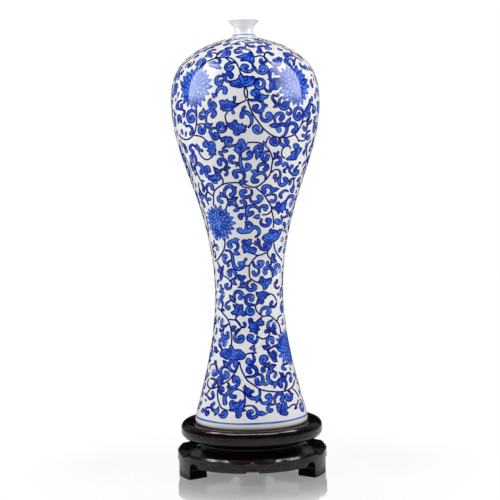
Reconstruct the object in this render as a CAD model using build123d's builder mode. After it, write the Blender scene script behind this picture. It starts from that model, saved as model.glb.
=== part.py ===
from build123d import *
import os
from math import cos, degrees, radians, sin, sqrt

os.makedirs("parts", exist_ok=True)

# A tall shouldered porcelain vase that stands loose in the sunk seat of a lacquered wooden stand.
# Millimetres, +Z up, the origin on the floor under the middle of the stand, -Y is the front.

# Vase outline: radii, with waist and flank at their heights over the foot, the base a rise above the
# foot, and everything from the belly up set down from the mouth by the rises between them
vase_height = 400.0
foot_radius = 53.0
base_radius = 56.0
base_rise = 8.0
base_slope = 0.28
waist_radius = 34.0
waist_height = 131.0
flank_radius = 50.5
flank_height = 226.0
belly_radius = 74.0
upper_radius = 67.0
upper_rise = 31.0
upper_tilt = 30.0
shoulder_radius = 36.5
shoulder_rise = 24.0
neck_foot_radius = 15.5
neck_foot_rise = 7.0
neck_foot_slope = 0.3
neck_radius = 9.2
neck_rise = 6.5
mouth_radius = 15.4
mouth_rise = 10.5
mouth_slope = 0.9
mouth_throat = 3.0

# Vase wall
wall = 4.5
neck_bore_radius = 6.0
lip_edge = 1.4
floor_thickness = 7.0
floor_corner = 6.0
foot_ring_width = 6.0
foot_recess = 4.0
foot_ring_draft = 2.0

# Stand: the turned disc that carries the vase
disc_thickness = 15.7
disc_top_round = 6.0
disc_bottom_round = 6.0
disc_rim_width = 7.0
seat_clearance = 1.6
seat_depth = 1.6
seat_bevel_width = 9.4

# Stand: the turned waist block under the disc
waist_block_radius = 56.0
waist_block_height = 10.7
waist_block_cove = 4.0

# Stand: the base plate with its scalloped edge
base_plate_radius = 75.0
base_plate_thickness = 5.4
plate_edge_bevel = 2.2
scoop_depth = 4.4
scoop_reach = 6.5
scoop_half_angle = 9.0

# Stand: three sawn segments, each a foot with half an apron on either side
segment_height = 19.2
foot_thickness = 20.0
foot_half_angle = 11.0
front_foot_angle = 66.0
apron_thickness = 14.0
apron_clear = 12.6
foot_arch_radius = 7.0
foot_arch_top = 17.0
middle_arch_radius = 6.5
middle_arch_top = 17.4

# Dowels that hold the stand together
dowel_radius = 3.0
dowel_clearance = 0.1
dowel_end_gap = 0.4
disc_dowel_count = 4
dowel_ring_radius = 38.0
disc_dowel_depth = 7.0
block_dowel_depth = 4.6
plate_dowel_count = 4
plate_dowel_depth = 3.6
foot_dowel_depth = 10.0

# Heights worked out from the stack
plate_bottom = segment_height
plate_top = plate_bottom + base_plate_thickness
disc_bottom = plate_top + waist_block_height
disc_top = disc_bottom + disc_thickness
seat_z = disc_top - seat_depth

mouth_z = seat_z + vase_height
neck_z = mouth_z - mouth_rise
neck_foot_z = neck_z - neck_rise
shoulder_z = neck_foot_z - neck_foot_rise
upper_z = shoulder_z - shoulder_rise
belly_z = upper_z - upper_rise
base_z = seat_z + base_rise
waist_z = seat_z + waist_height
flank_z = seat_z + flank_height
floor_z = seat_z + foot_recess + floor_thickness

# Seat and disc follow the foot that stands in them
seat_radius = foot_radius + seat_clearance
seat_edge_radius = seat_radius + seat_bevel_width
disc_radius = seat_edge_radius + disc_rim_width

# Directions of the vase outline where its curves meet, and how the wall lies behind the upper shoulder
base_direction = (-base_slope, 1)
neck_foot_direction = (-1, neck_foot_slope)
mouth_direction = (1, mouth_slope)
upper_wall_in = wall * cos(radians(upper_tilt))
upper_wall_down = wall * sin(radians(upper_tilt))
inner_base_radius = base_radius - wall - base_slope * (floor_z + floor_corner - base_z)

with BuildPart() as vase:
    with BuildSketch(Plane.XZ):
        with BuildLine():
            Bezier(
                (foot_radius, seat_z),
                (base_radius + base_slope * base_rise, seat_z),
                (base_radius, base_z),
            )
            Spline(
                (base_radius, base_z),
                (waist_radius, waist_z),
                (flank_radius, flank_z),
                (belly_radius, belly_z),
                (upper_radius, upper_z),
                (shoulder_radius, shoulder_z),
                (neck_foot_radius, neck_foot_z),
                tangents=(base_direction, neck_foot_direction),
            )
            Spline(
                (neck_foot_radius, neck_foot_z),
                (neck_radius, neck_z),
                (mouth_radius, mouth_z),
                tangents=(neck_foot_direction, mouth_direction),
            )
            Line((mouth_radius, mouth_z), (mouth_radius - lip_edge, mouth_z))
            Bezier(
                (mouth_radius - lip_edge, mouth_z),
                (neck_bore_radius, neck_z + mouth_throat),
                (neck_bore_radius, neck_z),
            )
            Line((neck_bore_radius, neck_z), (neck_bore_radius, neck_foot_z - wall))
            Spline(
                (inner_base_radius, floor_z + floor_corner),
                (waist_radius - wall, waist_z),
                (flank_radius - wall, flank_z),
                (belly_radius - wall, belly_z),
                (upper_radius - upper_wall_in, upper_z - upper_wall_down),
                (shoulder_radius, shoulder_z - wall),
                (neck_bore_radius, neck_foot_z - wall),
                tangents=(base_direction, neck_foot_direction),
            )
            Bezier(
                (inner_base_radius, floor_z + floor_corner),
                (inner_base_radius + base_slope * floor_corner, floor_z),
                (inner_base_radius - floor_corner, floor_z),
            )
            Polyline(
                (inner_base_radius - floor_corner, floor_z),
                (0, floor_z),
                (0, seat_z + foot_recess),
                (foot_radius - foot_ring_width - foot_ring_draft, seat_z + foot_recess),
                (foot_radius - foot_ring_width, seat_z),
                (foot_radius, seat_z),
            )
        make_face()
    revolve(axis=Axis.Z)
vase.part.label = "vase"
export_step(vase.part, "parts/vase.step")

# Turned disc with a rounded edge and a bevel that leads down to the flat seat
with BuildPart() as seat_disc:
    with BuildSketch(Plane.XZ):
        with BuildLine():
            Polyline(
                (0, disc_bottom),
                (disc_radius, disc_bottom),
                (disc_radius, disc_top),
                (seat_edge_radius, disc_top),
                (seat_radius, seat_z),
                (0, seat_z),
                close=True,
            )
        make_face()
    revolve(axis=Axis.Z)
    rim_edges = edges().filter_by(GeomType.CIRCLE).group_by(SortBy.RADIUS)[-1].sort_by(Axis.Z)
    fillet(rim_edges[-1], disc_top_round)
    fillet(edges().filter_by(GeomType.CIRCLE).sort_by(Axis.Z)[0], disc_bottom_round)
    with Locations((0, 0, disc_bottom)):
        with PolarLocations(dowel_ring_radius, disc_dowel_count):
            Cylinder(
                dowel_radius + dowel_clearance,
                disc_dowel_depth + dowel_end_gap,
                align=(Align.CENTER, Align.CENTER, Align.MIN),
                mode=Mode.SUBTRACT,
            )
seat_disc.part.label = "seat_disc"
export_step(seat_disc.part, "parts/seat_disc.step")

# Turned block between disc and base plate, hollowed to a cove round its side
plate_dowel_turn = 180 / plate_dowel_count
with BuildPart() as waist_block:
    with BuildSketch(Plane.XZ):
        with BuildLine():
            Polyline(
                (waist_block_radius, disc_bottom),
                (0, disc_bottom),
                (0, plate_top),
                (waist_block_radius, plate_top),
            )
            ThreePointArc(
                (waist_block_radius, plate_top),
                (waist_block_radius - waist_block_cove, plate_top + waist_block_height / 2),
                (waist_block_radius, disc_bottom),
            )
        make_face()
    revolve(axis=Axis.Z)
    with Locations((0, 0, disc_bottom)):
        with PolarLocations(dowel_ring_radius, disc_dowel_count):
            Cylinder(
                dowel_radius + dowel_clearance,
                block_dowel_depth + dowel_end_gap,
                align=(Align.CENTER, Align.CENTER, Align.MAX),
                mode=Mode.SUBTRACT,
            )
    with Locations((0, 0, plate_top)):
        with PolarLocations(dowel_ring_radius, plate_dowel_count, start_angle=plate_dowel_turn):
            Cylinder(
                dowel_radius + dowel_clearance,
                block_dowel_depth + dowel_end_gap,
                align=(Align.CENTER, Align.CENTER, Align.MIN),
                mode=Mode.SUBTRACT,
            )
waist_block.part.label = "waist_block"
export_step(waist_block.part, "parts/waist_block.step")

# Where feet and apron middles stand, in degrees from +X
front = -90.0
foot_angles = {
    "foot_left": front - front_foot_angle,
    "foot_right": front + front_foot_angle,
    "foot_rear": front + 180,
}
side_middle_angle = (front_foot_angle + 180) / 2
apron_middles = (front, front - side_middle_angle, front + side_middle_angle)
foot_circle = base_plate_radius - foot_thickness / 2

# A scoop is a ball that meets the wall of the plate scoop_depth below its top edge, the top
# scoop_reach in from the wall, and the lower line of the edge bevel at scoop_half_angle to each side
scoop_half_width = base_plate_radius * radians(scoop_half_angle)
scoop_drop = scoop_depth - plate_edge_bevel
scoop_up = (scoop_half_width**2 / scoop_drop - scoop_depth - plate_edge_bevel) / 2
wall_chord = scoop_up + scoop_depth
scoop_out = (wall_chord**2 - scoop_up**2 - scoop_reach**2) / (2 * scoop_reach)
scoop_radius = sqrt(wall_chord**2 + scoop_out**2)
scoop_angles = [middle + side * scoop_half_angle for middle in apron_middles for side in (-1, 1)]
scoop_angles += foot_angles.values()

# Base plate: bevelled rim, two scoops that meet in a point over each apron middle, one over each foot
with BuildPart() as base_plate:
    with BuildSketch(Plane.XZ):
        with BuildLine():
            Polyline(
                (0, plate_bottom),
                (base_plate_radius, plate_bottom),
                (base_plate_radius, plate_top - plate_edge_bevel),
                (base_plate_radius - plate_edge_bevel, plate_top),
                (0, plate_top),
                close=True,
            )
        make_face()
    revolve(axis=Axis.Z)
    scoop_circle = base_plate_radius + scoop_out
    with Locations(
        *[
            (scoop_circle * cos(radians(a)), scoop_circle * sin(radians(a)), plate_top + scoop_up)
            for a in scoop_angles
        ]
    ):
        Sphere(scoop_radius, mode=Mode.SUBTRACT)
    with Locations((0, 0, plate_top)):
        with PolarLocations(dowel_ring_radius, plate_dowel_count, start_angle=plate_dowel_turn):
            Cylinder(
                dowel_radius + dowel_clearance,
                plate_dowel_depth + dowel_end_gap,
                align=(Align.CENTER, Align.CENTER, Align.MAX),
                mode=Mode.SUBTRACT,
            )
    with Locations((0, 0, plate_bottom)):
        for angle in foot_angles.values():
            with PolarLocations(foot_circle, 1, start_angle=angle):
                Cylinder(
                    dowel_radius + dowel_clearance,
                    plate_dowel_depth + dowel_end_gap,
                    align=(Align.CENTER, Align.CENTER, Align.MIN),
                    mode=Mode.SUBTRACT,
                )
base_plate.part.label = "base_plate"
export_step(base_plate.part, "parts/base_plate.step")


def turned_sector(inner, outer, bottom, top, start, end, mode=Mode.ADD):
    """Adds or cuts a ring sector of rectangular section between two angles."""
    plane = Plane.XZ.rotated((0, 0, start))
    with BuildSketch(plane) as section:
        with Locations(((inner + outer) / 2, (bottom + top) / 2)):
            Rectangle(outer - inner, top - bottom)
    revolve(section.sketch, axis=Axis.Z, revolution_arc=end - start, mode=mode)


def radial_arch(angle, arch_radius, arch_top):
    """Cuts a round arch that points out from the axis, through the whole thickness."""
    across = Plane(
        origin=(0, 0, arch_top - arch_radius),
        x_dir=(-sin(radians(angle)), cos(radians(angle)), 0),
        z_dir=(cos(radians(angle)), sin(radians(angle)), 0),
    )
    with BuildSketch(across) as arch:
        Circle(arch_radius)
    extrude(arch.sketch, amount=2 * base_plate_radius, mode=Mode.SUBTRACT)


# Foot segments: the foot runs from the floor to the plate, the apron beside it hangs clear of the floor
arch_turn = foot_half_angle + degrees(foot_arch_radius / base_plate_radius)
for name, foot_angle in foot_angles.items():
    if name == "foot_rear":
        reach_before = 180 - side_middle_angle
        reach_after = reach_before
    elif name == "foot_right":
        reach_before = front_foot_angle
        reach_after = side_middle_angle - front_foot_angle
    else:
        reach_before = side_middle_angle - front_foot_angle
        reach_after = front_foot_angle
    start = foot_angle - reach_before
    end = foot_angle + reach_after
    with BuildPart() as foot_segment:
        turned_sector(
            base_plate_radius - apron_thickness,
            base_plate_radius,
            apron_clear,
            segment_height,
            start,
            end,
        )
        turned_sector(
            base_plate_radius - foot_thickness,
            base_plate_radius,
            0,
            segment_height,
            foot_angle - foot_half_angle,
            foot_angle + foot_half_angle,
        )
        for side in (-1, 1):
            radial_arch(foot_angle + side * arch_turn, foot_arch_radius, foot_arch_top)
        for middle in (start, end):
            radial_arch(middle, middle_arch_radius, middle_arch_top)
        with Locations((0, 0, segment_height)):
            with PolarLocations(foot_circle, 1, start_angle=foot_angle):
                Cylinder(
                    dowel_radius + dowel_clearance,
                    foot_dowel_depth + dowel_end_gap,
                    align=(Align.CENTER, Align.CENTER, Align.MAX),
                    mode=Mode.SUBTRACT,
                )
    foot_segment.part.label = name
    export_step(foot_segment.part, f"parts/{name}.step")

# Dowels, one node for each set
with BuildPart() as disc_dowels:
    with Locations((0, 0, disc_bottom - block_dowel_depth)):
        with PolarLocations(dowel_ring_radius, disc_dowel_count):
            Cylinder(
                dowel_radius,
                block_dowel_depth + disc_dowel_depth,
                align=(Align.CENTER, Align.CENTER, Align.MIN),
            )
disc_dowels.part.label = "disc_dowels"
export_step(disc_dowels.part, "parts/disc_dowels.step")

with BuildPart() as plate_dowels:
    with Locations((0, 0, plate_top - plate_dowel_depth)):
        with PolarLocations(dowel_ring_radius, plate_dowel_count, start_angle=plate_dowel_turn):
            Cylinder(
                dowel_radius,
                plate_dowel_depth + block_dowel_depth,
                align=(Align.CENTER, Align.CENTER, Align.MIN),
            )
plate_dowels.part.label = "plate_dowels"
export_step(plate_dowels.part, "parts/plate_dowels.step")

with BuildPart() as foot_dowels:
    with Locations((0, 0, segment_height - foot_dowel_depth)):
        for angle in foot_angles.values():
            with PolarLocations(foot_circle, 1, start_angle=angle):
                Cylinder(
                    dowel_radius,
                    foot_dowel_depth + plate_dowel_depth,
                    align=(Align.CENTER, Align.CENTER, Align.MIN),
                )
foot_dowels.part.label = "foot_dowels"
export_step(foot_dowels.part, "parts/foot_dowels.step")
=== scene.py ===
import math

import bpy
import numpy as np
from mathutils import Matrix, Vector


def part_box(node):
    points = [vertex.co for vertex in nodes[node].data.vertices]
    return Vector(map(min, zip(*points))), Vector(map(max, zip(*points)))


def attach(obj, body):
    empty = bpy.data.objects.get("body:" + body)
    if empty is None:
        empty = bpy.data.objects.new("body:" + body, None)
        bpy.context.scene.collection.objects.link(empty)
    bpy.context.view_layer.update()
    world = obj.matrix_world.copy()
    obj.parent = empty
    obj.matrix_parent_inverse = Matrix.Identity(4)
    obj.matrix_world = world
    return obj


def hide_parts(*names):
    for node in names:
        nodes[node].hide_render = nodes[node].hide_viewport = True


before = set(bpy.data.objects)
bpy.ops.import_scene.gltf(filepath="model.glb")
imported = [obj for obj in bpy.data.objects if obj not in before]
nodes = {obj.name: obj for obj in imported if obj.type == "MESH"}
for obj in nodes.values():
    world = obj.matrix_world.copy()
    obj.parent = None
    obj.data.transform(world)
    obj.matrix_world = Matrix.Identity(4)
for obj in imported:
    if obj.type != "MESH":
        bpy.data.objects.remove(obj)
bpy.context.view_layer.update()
scene = bpy.context.scene
scene.view_settings.view_transform = "Standard"
mm = 0.001
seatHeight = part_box("vase")[0].z
print("frame loaded, vase foot at", round(seatHeight / mm, 2), "mm")

# the photo's camera: metres and degrees, focal length in pixels of the 500 px picture
cameraSet = {
    "distance": 1.25, "height": 0.290, "pitchDown": 3.12, "roll": -1.15, "axisShift": 0.0018,
    "focalPixels": 1249.0, "picturePixels": 500.0, "sensorWidth": 36.0, "clip": (0.05, 40.0),
}


def makeCamera():
    view = cameraSet
    data = bpy.data.cameras.new("camera")
    data.sensor_width = view["sensorWidth"]
    data.lens = view["sensorWidth"] * view["focalPixels"] / view["picturePixels"]
    data.clip_start, data.clip_end = view["clip"]
    cam = bpy.data.objects.new("camera", data)
    pitch = Matrix.Rotation(math.radians(90 - view["pitchDown"]), 4, "X")
    roll = Matrix.Rotation(math.radians(view["roll"]), 4, "Z")
    place = Matrix.Translation((view["axisShift"], -view["distance"], view["height"]))
    cam.matrix_world = place @ (pitch @ roll)
    scene.collection.objects.link(cam)
    scene.camera = cam
    return cam.matrix_world.copy()


cameraPlace = makeCamera()


# a socket with arithmetic: an expression on values adds its Math nodes
class Sock:
    def __init__(self, tree, socket):
        self.tree, self.socket = tree, socket

    def math(self, operation, other, swap=False):
        first, second = (other, self) if swap else (self, other)
        return self.tree.node("ShaderNodeMath", {0: first, 1: second}, operation=operation)[0]

    def __add__(self, other):
        return self.math("ADD", other)

    def __radd__(self, other):
        return self.math("ADD", other, True)

    def __sub__(self, other):
        return self.math("SUBTRACT", other)

    def __rsub__(self, other):
        return self.math("SUBTRACT", other, True)

    def __mul__(self, other):
        return self.math("MULTIPLY", other)

    def __rmul__(self, other):
        return self.math("MULTIPLY", other, True)

    def ramp(self, low, high):
        return self.tree.node("ShaderNodeMapRange", {"Value": self, "From Min": low, "From Max": high},
                              interpolation_type="SMOOTHSTEP")[0]


# a node, its outputs by name or number
class Made:
    def __init__(self, tree, node):
        self.tree, self.node = tree, node

    def __getitem__(self, key):
        return Sock(self.tree, self.node.outputs[key])


# one node tree, for a material, a light, the world or geometry
class Tree:
    def __init__(self, tree):
        self.tree = tree
        tree.nodes.clear()

    def node(self, kind, sockets=None, **settings):
        made = self.tree.nodes.new(kind)
        for name, value in settings.items():
            setattr(made, name, value)
        for key, value in (sockets or {}).items():
            if isinstance(value, Made):
                value = value[0]
            if isinstance(value, Sock):
                self.tree.links.new(value.socket, made.inputs[key])
            elif made.inputs[key].type == "RGBA":
                made.inputs[key].default_value = (*value, 1)
            else:
                made.inputs[key].default_value = value
        return Made(self, made)

    def mix(self, factor, first, second):
        return self.node("ShaderNodeMix", {"Factor": factor, 6: first, 7: second},
                         data_type="RGBA", clamp_factor=True)[2]

    def mixShader(self, factor, first, second):
        return self.node("ShaderNodeMixShader", {0: factor, 1: first, 2: second})

    def noise(self, place, scale, detail=3.0, rough=0.5):
        return self.node("ShaderNodeTexNoise", {
            "Vector": place, "Scale": scale, "Detail": detail, "Roughness": rough})[0]

    def stretched(self, place, scales):
        return self.node("ShaderNodeMapping", {"Vector": place, "Scale": scales})[0]

    def bump(self, height, strength, distance, **more):
        return self.node("ShaderNodeBump", {
            "Height": height, "Strength": strength, "Distance": distance, **more})[0]

    def glow(self, strength=1.0):
        return self.node("ShaderNodeEmission", {"Color": (1, 1, 1), "Strength": strength})


def newMaterial(name):
    material = bpy.data.materials.new(name)
    material.use_nodes = True
    tree = Tree(material.node_tree)
    return material, tree, tree.node("ShaderNodeTexCoord")["Object"]


def finishMaterial(tree, **sockets):
    inputs = {name.replace("_", " "): value for name, value in sockets.items()}
    shader = tree.node("ShaderNodeBsdfPrincipled", inputs)
    tree.node("ShaderNodeOutputMaterial", {"Surface": shader})


# glaze shared by the body and everything painted under it, bare clay at the foot, heights in mm
glaze = {
    "ior": 1.80, "rough": 0.045, "roughSpread": 0.03, "roughScale": 60.0,
    "body": (0.86, 0.865, 0.875), "shade": (0.81, 0.825, 0.845),
    "cloudScale": 22.0, "cloudRange": (0.35, 0.7),
    "speck": (0.45, 0.40, 0.34), "speckScale": 900.0, "speckRange": (0.70, 0.76), "speckShare": 0.25,
    "biscuit": (0.50, 0.36, 0.27), "bareRange": (0.8, 4.2), "bareScale": 90.0, "bareLeast": 0.55,
    "bareSpread": 0.9, "bareRough": 0.45,
    "rippleScale": 45.0, "rippleStrength": 0.06, "rippleDepth": 0.4,
}


def glazeRough(tree, place):
    return glaze["rough"] + glaze["roughSpread"] * tree.noise(place, glaze["roughScale"], 2.0)


def makePorcelain():
    material, tree, place = newMaterial("glazedPorcelain")
    height = tree.node("ShaderNodeSeparateXYZ", {"Vector": place})["Z"]
    cloud = tree.noise(place, glaze["cloudScale"], 4.0)
    speck = tree.noise(place, glaze["speckScale"], 1.0).ramp(*glaze["speckRange"])
    colour = tree.mix(cloud.ramp(*glaze["cloudRange"]), glaze["body"], glaze["shade"])
    colour = tree.mix(speck * glaze["speckShare"], colour, glaze["speck"])
    bare = 1 - height.ramp(*(seatHeight + level * mm for level in glaze["bareRange"]))
    bare = bare * (glaze["bareLeast"] + glaze["bareSpread"] * tree.noise(place, glaze["bareScale"], 3.0))
    colour = tree.mix(bare, colour, glaze["biscuit"])
    rough = glazeRough(tree, place) + bare * glaze["bareRough"]
    waves = tree.noise(place, glaze["rippleScale"], 2.0)
    ripple = tree.bump(waves, glaze["rippleStrength"], glaze["rippleDepth"] * mm)
    finishMaterial(tree, Base_Color=colour, Roughness=rough, Normal=ripple, IOR=glaze["ior"])
    return material


# each cobalt blue: where it pools dark and light, the noise between the two, its scale
cobalts = {
    "cobaltLine": ((0.001, 0.002, 0.12), (0.002, 0.006, 0.27), (0.40, 0.72), 70.0),
    "cobaltWash": ((0.006, 0.040, 0.50), (0.062, 0.215, 0.90), (0.36, 0.68), 150.0),
    "cobaltPale": ((0.10, 0.26, 0.70), (0.32, 0.47, 0.78), (0.35, 0.70), 150.0),
    "cobaltBand": ((0.035, 0.115, 0.50), (0.085, 0.22, 0.62), (0.35, 0.70), 60.0),
}
cobaltGrain = {"scale": 1400.0, "range": (0.52, 0.75), "share": 0.35}


def makeCobalt(name):
    dark, light, poolRange, scale = cobalts[name]
    material, tree, place = newMaterial(name)
    pool = tree.noise(place, scale, 3.0, 0.6)
    grain = tree.noise(place, cobaltGrain["scale"], 2.0)
    colour = tree.mix(pool.ramp(*poolRange), dark, light)
    colour = tree.mix(grain.ramp(*cobaltGrain["range"]) * cobaltGrain["share"], colour, dark)
    finishMaterial(tree, Base_Color=colour, Roughness=glazeRough(tree, place), IOR=glaze["ior"])
    return material


# near-black lacquer over red-brown grain, its edges worn round
lacquerSet = {
    "dark": (0.002, 0.0014, 0.0016), "light": (0.007, 0.0035, 0.0036),
    "cloudScale": 40.0, "cloudRange": (0.35, 0.75),
    "grain": (0.040, 0.009, 0.009), "grainScales": (30, 260, 260), "grainRange": (0.5, 0.75),
    "grainShare": 0.7,
    "rough": 0.08, "roughSpread": 0.10, "roughScale": 120.0, "ior": 1.45,
    "grainPores": 0.35, "finePores": (420.0, 0.25), "widePores": (170.0, 0.4),
    "edgeRadius": 0.9, "bumpStrength": 0.6, "bumpDepth": 0.7,
}


def makeLacquer():
    look = lacquerSet
    material, tree, place = newMaterial("lacqueredWood")
    cloud = tree.noise(place, look["cloudScale"], 4.0)
    grain = tree.noise(tree.stretched(place, look["grainScales"]), 1.0, 4.0)
    colour = tree.mix(cloud.ramp(*look["cloudRange"]), look["dark"], look["light"])
    colour = tree.mix(grain.ramp(*look["grainRange"]) * look["grainShare"], colour, look["grain"])
    rough = look["rough"] + look["roughSpread"] * tree.noise(place, look["roughScale"], 3.0)
    (fineScale, fineShare), (wideScale, wideShare) = look["finePores"], look["widePores"]
    pores = grain * look["grainPores"] + tree.noise(place, fineScale, 3.0) * fineShare
    pores = pores + tree.noise(place, wideScale, 2.0) * wideShare
    worn = tree.node("ShaderNodeBevel", {"Radius": look["edgeRadius"] * mm}, samples=6)[0]
    ripple = tree.bump(pores, look["bumpStrength"], look["bumpDepth"] * mm, Normal=worn)
    finishMaterial(tree, Base_Color=colour, Roughness=rough, Normal=ripple, IOR=look["ior"])
    return material


# plain wood with the grain along the dowels
dowelSet = {
    "light": (0.50, 0.34, 0.20), "dark": (0.33, 0.20, 0.10),
    "grainScales": (900, 900, 60), "grainRange": (0.3, 0.7),
    "rough": 0.55, "roughSpread": 0.2, "bumpStrength": 0.3, "bumpDepth": 0.2,
}


def makeDowelWood():
    look = dowelSet
    material, tree, place = newMaterial("dowelWood")
    grain = tree.noise(tree.stretched(place, look["grainScales"]), 1.0, 5.0)
    colour = tree.mix(grain.ramp(*look["grainRange"]), look["light"], look["dark"])
    ripple = tree.bump(grain, look["bumpStrength"], look["bumpDepth"] * mm)
    rough = look["rough"] + look["roughSpread"] * grain
    finishMaterial(tree, Base_Color=colour, Roughness=rough, Normal=ripple)
    return material


porcelain = makePorcelain()
blues = {name: makeCobalt(name) for name in cobalts}
lacquer = makeLacquer()
dowelWood = makeDowelWood()
print("materials made")


# smooth curve through points with given end directions, chord lengths as its parameter
def splineThrough(points, startDirection, endDirection, perSpan):
    spots = np.array(points, float)
    steps = np.diff(spots, axis=0)
    chords = np.linalg.norm(steps, axis=1)
    count = len(spots)
    weights, sums = np.zeros((count, count)), np.zeros((count, 2))
    weights[0, 0] = weights[-1, -1] = 1
    sums[0] = np.array(startDirection) / np.linalg.norm(startDirection)
    sums[-1] = np.array(endDirection) / np.linalg.norm(endDirection)
    for i in range(1, count - 1):
        before, after = chords[i - 1], chords[i]
        weights[i, i - 1], weights[i, i], weights[i, i + 1] = after, 2 * (before + after), before
        sums[i] = 3 * (after * steps[i - 1] / before + before * steps[i] / after)
    slopes = np.linalg.solve(weights, sums)
    share = np.linspace(0, 1, perSpan, endpoint=False)[:, None]
    square, cube = share**2, share**3
    start, end = 2 * cube - 3 * square + 1, 3 * square - 2 * cube
    leave, arrive = cube - 2 * square + share, cube - square
    out = []
    for i in range(count - 1):
        out.append(start * spots[i] + leave * chords[i] * slopes[i]
                   + end * spots[i + 1] + arrive * chords[i] * slopes[i + 1])
    return np.vstack(out + [spots[-1:]])


def bezierThrough(first, control, last, count):
    first, control, last = (np.array(spot) for spot in (first, control, last))
    share = np.linspace(0, 1, count)[:, None]
    return (1 - share)**2 * first + 2 * share * (1 - share) * control + share**2 * last


# way gone along a run of points, from 0 at the first
def wayAlong(points):
    return np.concatenate([[0], np.cumsum(np.linalg.norm(np.diff(points, axis=0), axis=1))])


# radius and height over the foot in mm, the same values as the CAD vase
vaseShape = {
    "foot": (53.0, 0), "baseControl": (58.24, 0), "base": (56.0, 8),
    "body": [(34.0, 131), (50.5, 226), (74.0, 321), (67.0, 352), (36.5, 376)],
    "neckFoot": (15.5, 383), "neck": (9.2, 389.5), "mouth": (15.4, 400),
    "baseWay": (-0.28, 1), "neckWay": (-1, 0.3), "mouthWay": (1, 0.9),
    "bore": 6.0, "lipEdge": 1.4, "throat": 392.5, "innerNeck": 378.5,
    "innerBody": [(49.0, 17.0), (29.5, 131), (46.0, 226), (69.5, 321), (63.1, 349.75), (36.5, 371.5)],
    "floor": 11.0, "floorCorner": (50.7, 43.0), "axisGap": 0.02,
    "recess": 4.0, "ringIn": (47.0, 45.0), "ringEdge": (0.4, 0.3),
    "steps": (13, 26, 12), "innerSteps": (9, 12, 7), "segments": 192, "sharpDegrees": 50,
}


def vaseOutside():
    shape = vaseShape
    lowSteps, bodySteps, neckSteps = shape["steps"]
    low = bezierThrough(shape["foot"], shape["baseControl"], shape["base"], lowSteps)[:-1]
    side = [shape["base"], *shape["body"], shape["neckFoot"]]
    body = splineThrough(side, shape["baseWay"], shape["neckWay"], bodySteps)[:-1]
    top = [shape["neckFoot"], shape["neck"], shape["mouth"]]
    neck = splineThrough(top, shape["neckWay"], shape["mouthWay"], neckSteps)
    return np.vstack([low, body, neck])


def vaseInside():
    shape = vaseShape
    throatSteps, wallSteps, cornerSteps = shape["innerSteps"]
    lip = (shape["mouth"][0] - shape["lipEdge"], shape["mouth"][1])
    bore = shape["bore"]
    throat = bezierThrough(lip, (bore, shape["throat"]), (bore, shape["neck"][1]), throatSteps)
    side = [*shape["innerBody"], (bore, shape["innerNeck"])]
    wall = splineThrough(side, shape["baseWay"], shape["neckWay"], wallSteps)[::-1]
    control, last = ((radius, shape["floor"]) for radius in shape["floorCorner"])
    corner = bezierThrough(shape["innerBody"][0], control, last, cornerSteps)[1:]
    return np.vstack([throat, wall, corner, [(shape["axisGap"], shape["floor"])]])


def vaseUnder():
    shape = vaseShape
    ringOut, ringIn = shape["ringIn"]
    edgeWide, edgeHigh = shape["ringEdge"]
    recess = [(shape["axisGap"], shape["recess"]), (ringIn, shape["recess"])]
    return np.array([*recess, (ringOut, edgeHigh), (ringOut + edgeWide, 0)])


def onSeat(run):
    return (run + (0, seatHeight / mm)) * mm


outline = onSeat(vaseOutside())
outlineStep = wayAlong(outline)
print("vase outline", len(outline), "points,", round(outlineStep[-1] / mm), "mm along the side")


# the outline's radius and height at a way along it
def radiusOn(way):
    return np.interp(way, outlineStep, outline[:, 0])


def heightOn(way):
    return np.interp(way, outlineStep, outline[:, 1])


def wayAt(height):
    return np.interp(height, outline[:, 1], outlineStep)


def curveObject(name, runs, radii=None, cyclic=False):
    data = bpy.data.curves.new(name, "CURVE")
    data.dimensions = "3D"
    for i, run in enumerate(runs):
        spline = data.splines.new("POLY")
        spline.points.add(len(run) - 1)
        flat = np.ones((len(run), 4))
        flat[:, :3] = run
        spline.points.foreach_set("co", flat.ravel())
        if radii is not None:
            spline.points.foreach_set("radius", np.asarray(radii[i], float))
        spline.use_cyclic_u = cyclic
    made = bpy.data.objects.new(name, data)
    scene.collection.objects.link(made)
    return made


# geometry node group with a geometry input, one more input and a material
def nodeGroup(name, label, kind):
    group = bpy.data.node_groups.new(name, "GeometryNodeTree")
    face = group.interface
    face.new_socket("Geometry", in_out="INPUT", socket_type="NodeSocketGeometry")
    ids = [face.new_socket(label, in_out="INPUT", socket_type=kind).identifier,
           face.new_socket("Material", in_out="INPUT", socket_type="NodeSocketMaterial").identifier]
    face.new_socket("Geometry", in_out="OUTPUT", socket_type="NodeSocketGeometry")
    tree = Tree(group)
    return group, tree, tree.node("NodeGroupInput"), ids


def endGroup(tree, entry, geometry):
    whole = tree.node("GeometryNodeRealizeInstances", {0: geometry})
    done = tree.node("GeometryNodeSetMaterial", {0: whole, "Material": entry["Material"]})
    tree.node("NodeGroupOutput", {0: done})


# the mesh that a node group makes of a source, which is used up
def evaluated(source, groupAndIds, values, name):
    group, ids = groupAndIds
    change = source.modifiers.new("shape", "NODES")
    change.node_group = group
    for key, value in zip(ids, values):
        change[key] = value
    graph = bpy.context.evaluated_depsgraph_get()
    mesh = bpy.data.meshes.new_from_object(source.evaluated_get(graph))
    source.modifiers.remove(change)
    bpy.data.objects.remove(source)
    mesh.name = name
    shape = bpy.data.objects.new(name, mesh)
    scene.collection.objects.link(shape)
    return shape


# turns a profile (x out from the axis, y up) round the Z axis
latheSet = {"ringRadius": 1.0, "weld": 0.00005}


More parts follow.
